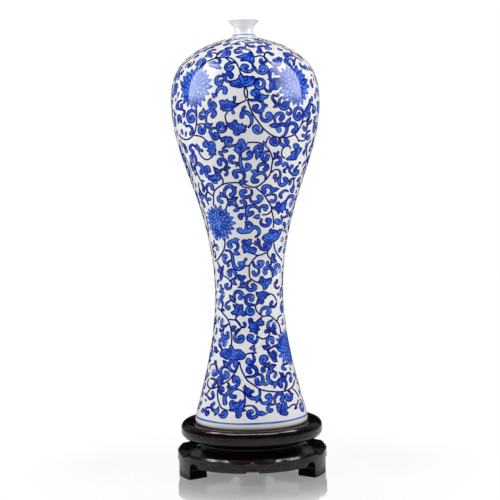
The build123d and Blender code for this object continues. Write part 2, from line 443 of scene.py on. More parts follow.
def makeLatheGroup():
    group, tree, entry, ids = nodeGroup("turnedProfile", "Segments", "NodeSocketInt")
    ring = tree.node("GeometryNodeCurvePrimitiveCircle", {
        "Resolution": entry["Segments"], "Radius": latheSet["ringRadius"]})
    upright = tree.node("GeometryNodeSetCurveNormal", {0: ring}, mode="Z_UP")
    swept = tree.node("GeometryNodeCurveToMesh", {0: upright, 1: entry["Geometry"]})
    closed = tree.node("GeometryNodeMergeByDistance", {0: swept, "Distance": latheSet["weld"]})
    endGroup(tree, entry, closed)
    return group, ids


def turned(name, profile, segments, material, sharpDegrees):
    flat = np.zeros((len(profile), 3))
    flat[:, 0] = profile[:, 0] - latheSet["ringRadius"]
    flat[:, 1] = -profile[:, 1]
    source = curveObject(name + "Profile", [flat])
    made = evaluated(source, makeLatheGroup(), (segments, material), name)
    made.data.shade_smooth()
    made.data.set_sharp_from_angle(angle=math.radians(sharpDegrees))
    return made


vaseProfile = np.vstack([onSeat(vaseUnder()), outline, onSeat(vaseInside())])[::-1]
vaseBody = turned("vaseBody", vaseProfile, vaseShape["segments"], porcelain, vaseShape["sharpDegrees"])
print("vase body", len(vaseBody.data.polygons), "faces", [round(x, 4) for x in vaseBody.dimensions])
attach(vaseBody, "vase")
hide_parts("vase")

# the painted scroll, sizes in mm and angles in degrees from the front
paint = {
    "lift": 0.05, "layerGap": 0.04, "ringLayers": 3, "vineHalf": 0.82, "rim": 1.15, "petalRim": 0.55,
    "step": 0.5, "fineStep": 0.4, "perSpan": 14, "leastPoints": 4, "leastRun": 3, "dotSteps": 13,
    "thinnest": 0.06, "leastWash": 0.12, "widen": (0.8, 2.0), "widenPower": 0.7,
    "keepApart": 1.8, "sideReach": 36.0, "vineReach": 69.0, "smallest": 4.0,
    "flankShifts": (0, 8, -8, 15, -15, 22, -22, 29, -29),
    "bareStep": 2.0, "bareTries": 40, "bareSize": (5.0, 12.0), "bareNarrowest": 2.0,
    "frontHalf": 50.0, "domeRadius": 44.0, "lowest": 13.0, "ringRadius": 20.0,
    "flatStretch": 20, "fillCuts": 2, "seamRoom": 1.02,
}
# strokes read off the photo, in its pixels: a bar parts two of them, a curl ends in its bulb
vines = """
207,61.5 212,59.5 217,57.8 226,57.4 231,58.5 235.5,62 238.5,67 240,71 240.5,75 | 226,58 230.5,61.8 |
254.5,57 258,56 262,56 265,57.5 268,61 270,62.5 | 244.8,87 244.2,91 244.8,95 246,98.5 | 245.5,87 247,90
247.5,93.5 247,98 | 247.5,99.5 248.5,103 251,110 254,116 258,121.5 262.5,127.5 268,132.5 271.5,135 279,137.5
285,137.6 290,136.5 294.5,134.3 297.5,131 301,125 302.8,119 303,112 | 196,106 196.6,113 196.7,120 196,127
194.2,133.5 190.5,138 186,139.6 182,138 178.5,134 175.8,128 | 227.5,112 225.6,115 225.5,119 226.3,122 |
240,103.3 243.5,101.5 246.8,99.3 | 247,142.6 255.5,142.3 262,143.8 265.8,146.3 269,150 271.5,155 272.6,159.6
271.7,166 270.3,173.4 265.7,179.8 260.7,184.4 255.6,187.1 252.4,187.1 244.6,184.4 240,183 238.1,182.5 |
269.8,136 267,140 265.7,144.5 | 294.8,134.5 297.5,138 298.8,142 | 194.5,135.3 199,136 203.5,138 206,140.5 |
212.8,156 210,158.5 206.5,159.6 203.5,158.3 200.5,155 198.3,150.5 196,147 | 230,45 235,43.5 240,41.2 244,42
246,44.5 245,48.5 249,50 251.5,52.5 | 259.5,49 262,52 264.5,53.5 264,57 | 209.5,53.3 214,52.8 218,53.5
221,52 | 218,53.3 217,55.5 215.5,57.8 | 183,65 188,61 192,57.5 198,53 205,50.3 213,46 222,42.5 | 270,42.3
274,44 279,45.3 | 282,47 287,49.3 290,50.3 291.5,53 294.5,56.5 299,59 302.5,62 | 292,52 296,54.5 300,57.5
305,61 309,66.5 311.8,72 | 294,64 295,60 296,58 | 310.5,75 313,76 313.5,80 316,84 317.3,88 | 180.5,80 182,86
183,88 | 196.8,125 200.5,123.8 204.5,124.3 | 290.5,149 289.5,146.3 286.5,146 283,148.5 281.5,152.5
282.5,156.5 285,158.3 | 298.8,140 301.5,141 304.5,140 306,137 | 311.5,139.5 308,144 306.5,149 306.5,154
307,160 | 180.5,139.5 182,145 182.8,151 185,158 | 307,121 303.5,121.5 301.8,124 | 213.4,206 213.6,201
213.4,195.9 214.7,190.8 218,187.6 222.1,184.8 228.5,183 238,182.5 | 238.1,182.5 242.3,186.2 250,188.5 |
255.6,187.1 260.7,191.7 264.8,195.9 268,201 271.2,207 271.7,210.6 273.1,217 273.5,225 273.3,228 |
195.4,169.7 197.7,174.3 199.6,178.4 201,181.2 | 198.7,182.5 198.7,186.2 200,190 201,192 203.7,195.4
206.5,200 208.8,205 | 207.4,191.3 210,193.6 213.4,196 | 219.3,173.8 222.1,178 223.2,181.6 222.1,185.3 |
228,204.6 226.2,207.8 226.7,213 | 271.2,172.4 275,169.7 279.5,169.7 | 271.7,210.6 267.5,214.2 262,214.7 |
225.2,238 224.8,245 223.4,250.8 220.3,255.7 216.8,260.2 214,261.5 | 214,240 213.6,246.8 212.7,248.6
215.4,253 215.4,258.4 | 211,243 212.3,248.6 212.5,254 | 224.3,275.8 228.8,279.4 231,282.5 | 271.7,242.8
270.8,246.8 267.7,251.7 267.7,255.3 270.4,258.8 | 273.7,242.8 274.8,249 278.4,255.7 283.8,263 | 282.9,231.2
285,230.3 286,233.4 286,238 287,241 | 267.2,252.1 262.3,254.4 257.9,255.7 253.4,259.7 249.8,265 249.2,271.3
249.6,277.6 | 249.8,265 245.4,266 243,263 | 294,179 293.7,182.5 292.8,186.2 289.6,190.4 | 215.2,306.3
219.2,309 223.2,313.5 227.7,319.3 230.4,327 231.7,334.4 231.7,341 231.3,345.6 | 228.6,319.3 232,319.7
234.8,319.7 236.6,317 | 234.8,319.7 238.4,323.3 240.2,326 | 255.4,305.4 255.8,309 258,312.6 262.5,316
270,316 273.7,318.8 277.3,322 280,327.8 280.8,334 | 271,293.8 273.7,295.6 276,299.6 276.8,301 | 277.3,321
278.6,317 281.7,314.8 | 238.9,361.8 237.9,366.4 232.8,375.6 226.7,381.7 219.5,385.8 213.4,388.3 209.3,387.8
207.5,382.7 208.8,379 | 239.4,361.8 241,368.4 244,375 248,381 254,385.2 258.2,388.3 270.5,391.4 283.2,391.4
291.4,387.8 294.5,380.7 294.5,373.5 293,363.3 | 219.5,385.8 218.5,387.8 217.5,395 219,403 222.6,408.7
227.2,410.2 | 242.5,408.2 246,406.2 253,405.7 | 245.5,354.6 249,353.4 253,353 | 210.3,388.8 206.2,395 |
292.4,388.3 296,392 299,397 301,399 | 298.5,399.5 297,404.6 | 281.5,275.8 281.5,282.5 283.3,287 | 245,399.5
244.6,394.5 241.5,390.8 237,389 | 258,336.5 262,338.8 266,338 269.3,334.5 269.6,331 | 198,196 200,201.5
202,206.5 203.5,210.5 205.5,215 | 215.5,315.5 215.4,322 214.6,330 214.3,336 | 211.3,242 212.8,248 213.3,253
215.3,258.5 | 203.3,386 204.5,392 206.2,396 | 211,346 210.6,352 | 206.3,216 207.6,224 209,231.5 | 296.5,197
295.8,203 293,209.5 291,214 | 258,255.7 253,253.5 249,250.8 | 217.2,261.5 219.4,266 221,269 | 249.8,278
255.2,281.6 258.3,282.5 | 262.5,317 260.7,318.8 256.7,322 | 288.3,408.2 293,404.6 297,404.6 | 209.8,369.5
211.3,364.8 214.4,363.8 | 289.4,367.4 291,370.4 | 236,319.5 239.5,323.5 241,327.5 239,331 236.5,334
"""
curls = """
230,42.5 227,44 224.8,45 | 246.5,44 250,46.3 253.5,46.3 | 246,43 250,42.7 252.5,42.4 | 239.5,49.5 236,49.6
234.8,51.4 237.5,52.6 240.5,51.9 | 254,41.5 258.5,42.3 260,43 | 262,41.8 265.5,42.8 267.2,45.5 266,48
269.5,48.2 | 266,46.3 261,46.2 258.5,47.6 259.5,49 | 262,51.5 259,50.6 257.5,51.8 260,52.4 | 264,57 266.5,60
264.5,62.3 260.5,61.6 261,60 | 265,53.5 267.5,52.3 270.5,53.5 272.5,54.5 | 217,55 220.5,52 225,51 229,52.3
227.5,54.9 223.5,55 | 224.5,48.8 228,48 231.2,47.6 | 236.5,62.3 231,62.8 227,65 226,67.8 229,69.8 232,67.3 |
252.3,64 253.3,68 250.5,71 246,71 242.6,68.5 243.5,65.8 246.6,66.6 | 254,66 256.5,70.5 260,72.8 264.5,72.8
266.6,70 265,66.8 261.8,66.5 261,68.5 | 232,81.5 227.5,81.3 225,79 226.2,75 229.5,73.6 231.6,75.6 230.8,76.8
| 255,79.5 259,78.8 263,80.5 264,84.5 261.5,87.8 258,87.3 256,84.5 257.5,82.6 | 264,86.5 266,90 269,91.5
271.2,88.5 271,85 | 216,97 216.6,92.5 219,88.5 222.5,87.6 225.5,89.6 224.8,92.4 | 247.5,99 252,100.3
256.5,98.3 258.6,94.5 257.5,91.4 254.5,91 252.6,93.3 254.8,94.5 | 252,100.5 258,100.3 262.5,103 263.3,107.5
260,111.5 255.8,110.5 254.2,107.3 256.8,106.3 | 263.5,107 266.3,105.5 | 263,109 261,114 261.5,118 265,120.8
269.5,119.5 271,115.8 268.5,113.8 267.6,116 | 233.5,103 234.5,100 234.6,97.5 | 231.5,108.5 232.8,111
233.3,112.8 | 247.8,128 250.8,124.5 251.8,120 250.2,115.5 246.5,112.5 242.5,113 241.8,116.5 | 243,112.3
242.5,109.5 244.5,107.3 | 226.3,125 226,128.5 223,131.6 219.5,131 217.8,127.5 219.5,123.8 222.3,124.3
222.3,126.5 | 263,128 261.5,131.5 258,132.8 254.8,130.8 254.4,127.8 256.7,126.6 257.8,128.3 | 236,144.8
231,146 227,145.3 226,141.5 228,138.7 231,139.6 230.3,141.3 | 229,145.8 225,146.8 223.2,149 224,151.2
226.6,150.8 | 241,158.3 245,159 249,158 251.3,154.8 249.8,152.3 248.6,153.8 | 264,154 258.5,153.5 255,151.5
256,147.8 259.5,146.5 261.8,148.5 260.5,150 | 269.5,151 265.5,152 262,155.5 263.5,159.5 266.8,158.8
267.6,156 | 222,43.5 218,44.8 215,45.5 | 214,47.5 209,48.3 205,50.5 | 216.5,49.8 212,50.2 208.7,52.8
210.8,56 | 215.5,58 218.5,58.5 219.8,61.5 217,64.2 212,65.5 210.5,64.5 213.5,63.3 | 199.5,70 200.5,67.5
203,64 204.5,61 203,59.7 199.5,61.5 197.8,64 | 193.5,58.5 197.5,55.6 | 181.5,75 182.3,72 | 224,76.5
219.5,76.3 216.3,79.3 217.3,83.5 220.3,83.8 221.2,81.6 | 196.3,117 195.5,112.5 192,110.5 188.5,113 188,117.5
190.5,121.3 193.3,119.5 192,117 | 211.5,98.5 209.3,101 209.8,105.5 212.5,107.7 214.8,105.3 213,103.5 |
206,122 206.2,115 209,111 212.5,110.5 214.8,113.5 212.8,116 | 206,113 202.5,112.3 200,115 201.8,118.5
203,117 | 206,123 204.8,128 202.8,132.8 199.8,131.5 200.3,128 | 185.5,127 188.5,125.8 191.5,127.8
192.3,131.5 190.8,133.5 | 182,129 182,132.5 | 178.5,124 178,119.5 179,116 180.5,118.5 180.5,121 | 182.5,100
180,101 177.5,104 176.5,108 | 178.5,104 178.5,108.5 181.5,109 181.3,105 | 182,109.5 184.5,111.5 183.5,115.5
| 218,128.6 213,128.2 210.2,131 212,135 215.3,138.6 217.8,135.8 215.6,134.2 | 196,147.3 192.5,144.8
190.2,147 191.5,150.5 193.3,152.3 | 198.5,150 201.8,150.5 | 182.5,143 185.5,147 186.5,151 | 272,45 268,44 |
282.8,50.3 279,49.3 | 299.5,62.5 301.5,66.5 304.5,67.5 | 270,62.5 273,64.6 277.5,65 279.6,62.5 278,60.3
275.2,60.8 | 277,60.5 278.3,58 281.2,59.2 | 293.5,66 293.8,62.5 291,59.3 287.5,58.6 286,60.8 288.5,64 |
271,82 269.8,76 270,72 273,69.6 276,70.3 276.6,73 | 280.5,83.5 278.5,80.3 275,79.3 272.3,82 272.5,86.5
275.5,88 277.6,85.8 275.8,83.8 | 270.8,79 271,84 271,88 | 311.5,79 311,82.5 312.5,85.5 | 312,96 311.8,100 |
276.5,97 273.5,95 272.5,98 275,102 | 276.5,97 277.8,95 | 282.5,96.8 279.8,99.5 279.5,104 281.5,107.8
285,108.6 287.5,105.5 285.8,102.8 283.9,104.3 | 287,107.3 290,108.5 291,112 288.8,114.3 287.3,113 |
302.8,118 303,112.5 300.5,108.6 297,108.4 294.7,112 295,116.5 297.8,119 300,117 299,114.5 | 275.5,122.5
274.5,118 277,114.3 281,113.8 283,117 280.8,119 | 280,138 284,135.5 286.5,131 286.5,126.5 284,124.5
280,124.8 277.7,127.5 279.2,130.3 | 287.5,127.5 290,123.8 293.5,123.3 296.3,126 295.8,129.5 293.3,131 |
279.3,138 279,142 276,144.8 272.3,143.5 271.3,140.3 273.8,138.8 275,140.5 | 280,138.5 280.3,142.5 283,145.4
286.5,144.3 287.3,141.3 285.8,140.4 | 310,99 309.5,104 307.5,108.5 306,112.5 306.3,115 | 308,110 309.5,113
309,117.5 307.5,121 | 309.5,104.5 312,104.5 313.3,108.5 312.8,112 | 307,123 306.8,127 305,130 303.5,127.5 |
310.5,130.5 307.5,132 305.5,136 303,135.5 | 306.5,134 307.5,139 309.3,136.5 | 305.5,149 303.5,153.5 |
224.4,168.3 226.7,164.2 224.8,160.5 220.7,159.6 218.9,162.3 220,164 | 223.5,170.2 226.7,171 227.1,173.4
225.8,174.7 | 224.4,168.3 220.2,170.6 218.4,173 | 218.4,174.7 213,176.1 207.4,176.1 206,172.4 205.5,168.8
207.4,167.4 208.7,170.6 | 219.3,176.6 213.8,178 213,181.6 216.1,182.1 | 196.4,162.8 195.9,158.7 193.6,155.5
191.3,156.8 192.7,161 | 195.4,169.7 195,165.6 197.3,163.7 201,165.6 202.8,169.2 201.4,172 | 201.5,182
202.3,184.4 203.7,188 203.5,190.4 | 200,191.7 199.6,195.4 201.6,198 | 207.4,191.7 206.5,187.1 209.2,184.4
212,186.2 212.4,188.5 | 207.4,191.7 206,195.4 207.4,199.5 209.7,199.1 | 239.1,182 243.2,179.3 244.1,174.3
239.5,171 234,172.9 236.3,176.6 | 239.1,162.8 234,162.8 229.9,160 230.8,156.8 233.1,157.3 | 240.9,150
240.7,165 242.8,169.2 246.9,169.2 249.6,166.5 247.3,165 | 228,199.1 224.4,194 225.3,189 229.9,186.2
234,189.5 233.6,193.6 231.3,195 | 226.7,197.7 222.1,195.9 218.9,197.2 218.9,200.5 221.6,201.8 | 233.1,203.7
236.8,207 238.1,209.6 234.9,210.6 | 238.1,207.8 242.3,207.8 245.5,204.6 243.7,201.4 241.6,201.6 | 246,220.7
246.9,217.4 243.2,214.7 239.5,216.1 241,218 | 262.5,155 262,158.7 264.8,160.5 267.5,158.7 266.6,156.8 |
258,171.5 258,167.4 261.1,164.2 265.7,164.6 267.1,168 264.8,169.7 | 265.3,179.8 265.7,176.6 262,173
257.4,173.8 253.3,177.5 253.3,181.2 257,181 | 282.7,170.2 286.4,168.3 287.3,165.1 285,163.3 283.2,165.1 |
279.5,170.2 280.4,175.2 279,180.7 280.9,184.8 285,183.5 286.4,179.8 285,179 | 279,177 276.3,178.4 274,177.5
275.5,175.2 | 273.1,160 274.9,157.8 278.1,156.8 280.4,159.6 279.5,162.8 276.7,163.7 | 298.8,165.1
295.6,168.8 294.2,171 | 292.3,173.8 289.6,171.5 290,168.3 292.3,166.5 | 295.6,173.4 298.3,171 297.5,172 |
295.6,178 293.7,178.4 290.5,180.7 290,183.5 | 288.7,191.7 286,190.4 282.2,192.2 280,195.4 281,196.8 |
292.8,186.2 293.3,189 292.3,191.3 | 265.7,195.4 269.4,194.5 271.7,191.7 271.2,188 267.5,186.2 263.4,188
264.3,191.7 | 271.2,194.5 274.9,195 275.8,198.2 273.5,201.4 271.2,201 | 286.4,200.5 289.6,196.3 292.3,196.3
292.3,201 290.5,204.6 | 250.6,189 252,191.7 250.6,195.4 246,197.2 241.8,195.4 241.8,191.7 245,191.3 |
250.1,197.7 251,201 253.8,202.3 259.3,201 261.1,197.7 258.8,196.8 | 260.2,213 258,208.3 253.3,206
248.3,207.3 247,211.5 248.7,214.7 252,213 | 259.7,213 259.7,209.2 263,206 266.6,207 265.3,209.2 | 262,218.4
260.7,223 263.9,225.5 268.5,224 269.4,220.2 267.5,220 | 281,215 281.8,219.3 278,223 275.8,221 277.6,220.6 |
282.2,218 287.8,214.7 287,211 | 245.8,221 246.2,229 242.2,232 238.6,229.8 240,230 | 254.7,237.4 258,235.2
259.2,231.2 256.5,227.6 252.5,227.6 249.8,230.3 | 257,238.3 259.2,241 259.2,245 262.3,249 266,249 268.6,246
266.8,243.2 265,245 | 259.2,242.3 258,244.6 255.2,243.2 256,242 | 213.6,246.8 215.4,245 217.2,247.2
217.2,249 | 224.8,250.4 229.3,250.8 232,254.8 232.8,260.2 233.7,265 236.8,268.7 241.8,267.3 243.1,264.2
240,263.7 | 231,260 226.6,263 223.9,259.7 224.3,255.7 225.7,257 | 233.7,250.8 237.3,248.6 237.7,245
234.2,241.4 230.1,242.3 228.8,245 230.6,246.3 | 243.1,263 245.8,259.3 | 232.4,279.4 236,277.6 235.5,273.6
232,270.4 228.8,272.2 230.1,275 | 232,283.4 230,288.3 227,288.3 225.7,285.6 227,284.7 | 253,261.5 253.8,265
257.4,267 261.4,265 262.3,262.4 259.2,262.5 | 257.4,267.3 258.8,269.6 258,273.6 254.7,275 253.4,272.2 |
272,258.8 273,254.8 | 271.3,261.5 270.4,265 267.7,265 267.7,262.4 | 272.6,277.6 272.8,272.7 270.8,268.2
267.7,267.8 264.6,270 265.4,272.7 | 279.7,272.7 279.7,268.2 278,265 274.8,268.2 275.7,272.7 | 279.7,286
277.5,288.3 274.8,285.2 277,281.2 | 283,237 282,240.5 | 282,246.3 279.3,250.4 | 251.2,280.3 247.6,282.5
247,287 250.7,290 255.2,287 253,285.2 | 220.5,284 221.4,288.5 222,291.6 223.2,294.7 221.4,297.8 | 222,307.7
222.8,303.6 220,300 218.8,304 | 235.3,301 234.4,295.2 237,291.6 241,293 242,296 240.2,297.8 | 230.4,300.5
226.8,303.2 226.3,307.2 228.6,308.6 229,307.2 | 240.6,327 243.8,327 245,324.2 244.2,323.3 | 239.3,328.2
235.7,331.3 233,329.5 233,327 234.8,327.3 | 239.7,328.6 236.6,332.7 234.8,336.7 235.7,340.3 239.3,341.6
242.4,339.8 242,336.7 239.7,337.6 | 228.6,323.7 224.6,326.4 221.4,325.5 222.3,320.2 | 224,327.8 222.3,332.2
224,336.7 227.7,337 227.7,333.6 | 222.3,349.6 220,345.6 220,341 222.8,339.4 225.4,341.6 224.3,344.3 |
276.8,302 275.5,305.4 272.8,306.8 270.6,304 272,302.3 | 255.4,305.4 251.4,304.5 247.3,303.6 246,298.3
248.7,295.6 252.3,297 251.4,299.6 | 255.4,305.4 251.8,305 248.2,307.7 247.3,311.7 250,314 252.7,311.7
251.4,310.3 | 260.7,314.4 261.2,310.8 264.8,307.7 268.8,309 269.2,312 268,313 | 257.2,335.3 257.2,339
254.5,342.5 251,340.7 248.7,339 249.6,336.2 251.8,337 | 272.8,319.7 268.8,322.4 268,326.4 270.6,329.5
274.6,327 274,324.6 | 268.3,346.5 267,342 269.7,337.6 272.8,339.4 272.3,342 | 271,348.3 274.6,346
277.3,347.4 280,349.2 | 252.6,353.6 254.2,359.7 250.6,362.8 247.5,361.8 248.6,360.2 | 237,366 234.8,371.5
230.7,370 228.7,366 231.8,361.3 235.8,361.3 235.3,365.3 | 228.2,368 224,367 221,370 221.6,375.6 225,377.6
227.7,374.5 226,373 | 246,376.8 251.6,376.6 256.2,374.5 256.2,369.4 252,366.4 248.6,368 248,370.4 250,372 |
227.7,382.2 230.7,387.3 235.3,386.8 238.4,383.2 237.4,378.6 234.3,377.6 234.3,381 | 227.2,385.8 229.2,391.4
226,395 224.6,398 225,403 | 224.6,395.4 220.5,393 220,388.8 222.6,388.3 222.5,390.5 | 218.5,385.8
217.5,380.7 220,377.6 222,379.6 221,382.2 | 210.3,378.6 214,379 215,383.7 213,386.3 | 216,364.8 217,369.4
216,374 213.4,374.5 213.6,371.5 | 214.4,363.8 215.2,362.3 | 206.8,395.4 210.3,399 213.4,396 212.4,393 |
216.5,411.8 213.4,410.2 212,405.7 214,403.6 | 210.8,407.7 207.3,407.7 205.7,411.3 206.8,414.3 208.3,412.3 |
218.5,413.8 221.6,417 225.6,415.4 225.6,411.8 223,413.3 | 270,362.3 268,363.8 262.8,363.8 260.8,360.2
263.3,356.7 266.4,358.2 265,360.2 | 268.4,367 264,367.4 261.8,369.4 263.3,371.5 264.5,370.4 | 269,365.3
269,371 268,376.6 269,380.7 271.5,382.7 | 273,370.4 276,373.5 274.6,376.6 | 267,349 271,355.7 273.5,357
275.6,354.6 273.5,352.6 | 256.2,375 260.3,374.5 262.8,378.6 261.3,383.2 257.2,383.2 256.7,380 | 284.3,390.3
286.3,385.2 284.8,380.7 280.7,379.6 278.7,383.2 281.2,385.8 | 285.3,375.6 288.3,373 291,375.6 290.4,380.7 |
288.3,363.3 283.2,365.3 282.7,368.4 284.8,369 | 259.3,388.8 259.8,395 255.2,398.5 249,396 246,391.4 |
250,393.5 252.6,391.4 | 260.3,398 261.8,402.6 266.4,403 270.5,399.5 269.5,395.4 267,397 | 274.6,404.6
270.5,404.6 268,407.7 269,411.3 271.5,410.2 | 275.6,404.6 274.6,399 276.6,395 280.7,393.4 282.7,396.5
281.7,400 | 287.8,390.3 291,394 290,399.5 286.8,399 287.3,396 | 253,405.7 256.7,410.2 257.2,414.8
253.7,417.4 249,416 248.6,412.8 251.6,411.8 | 282.5,225.5 284,223 285,226.5 | 219.5,279.5 217.8,282.5
218,285.8 | 214.5,403 211.8,404.5 211.6,408 213,410 | 183,143 184.5,147 186.3,151.5 | 190.5,161 191.8,166
193.5,170 | 199.3,189 200.5,193 202.5,197.5 | 311.5,103 309.5,107.5 307.8,112 | 238,389 233.5,389.8
230.8,392.5 231.5,396.5 234.8,396.8 | 215.6,360 215.4,363.8 | 293.5,184.5 293.5,188 291.5,190.3 | 291.5,174
289.8,171 290,168 291.3,166.6
"""
barbs = """
240,43.5 234,44.5 | 245,48.3 237,47.2 | 209.5,54.5 204.3,56.8 | 215.5,66 221.8,68.8 | 215.5,97.5 211.3,92.5
| 225,77 222,72.5 | 204,113 203.3,107.3 | 184.8,126 185,120.5 | 198,150 196.3,143 | 304,65.5 309,70.3 |
307.5,143.5 304.8,149 | 265.3,145.5 263,140.3 | 271.5,80 267,79 | 225.8,168 231.3,167.4 | 218.4,173.4
213.6,166.2 | 211,177 208.8,180.3 | 195,172.4 196,176.6 | 201,181.2 205,180.7 | 239,182.6 248.7,181.2 |
238,164 235.4,167.2 | 233,188.5 237.7,186.7 | 222.6,195.4 219.3,191.3 | 231.5,200.5 238.6,196.8 | 258,154
256,160.5 | 257,172.4 250,170.6 | 283,170.5 286.4,173.4 | 276.3,179.8 274.4,182.5 | 271.7,190.4 280,188.5 |
260.2,216.5 252.4,217.4 | 292.5,173 292.8,175.7 | 215,234.7 218,241 | 233.7,252 241,254.8 | 233.7,240
240,239.4 | 229.3,264 227,267.8 | 272,259 277,261 | 222,289 224.6,289 | 222,309.4 225.4,310.8 | 221,328.6
219.2,332.2 | 272.3,330 277.3,335.3 | 267.4,347.8 262.3,345.4 | 226.7,364.3 223.3,360 | 253,352 257.2,353 |
273.5,357 277.6,361.8 | 263.3,383.7 269,384.7 | 283.8,378 279.7,372 | 258.8,397 255.7,403.6 | 290.5,394
294,394 | 216,412.8 214.4,416 | 206,399 205.3,401.6 | 297,406 294,409.7 | 250.3,230 244,233.8 | 252,348.5
248.7,348 | 252,348.5 256.7,349.6 | 252,348.5 255,344.3 | 231.3,297.8 229,294.3 | 241.5,409 245,410.2 |
222,291.6 218.3,291.6 | 246.2,222.7 253.8,224.5 | 258.2,413.3 268,413.8 | 270,367 277,364.8
"""
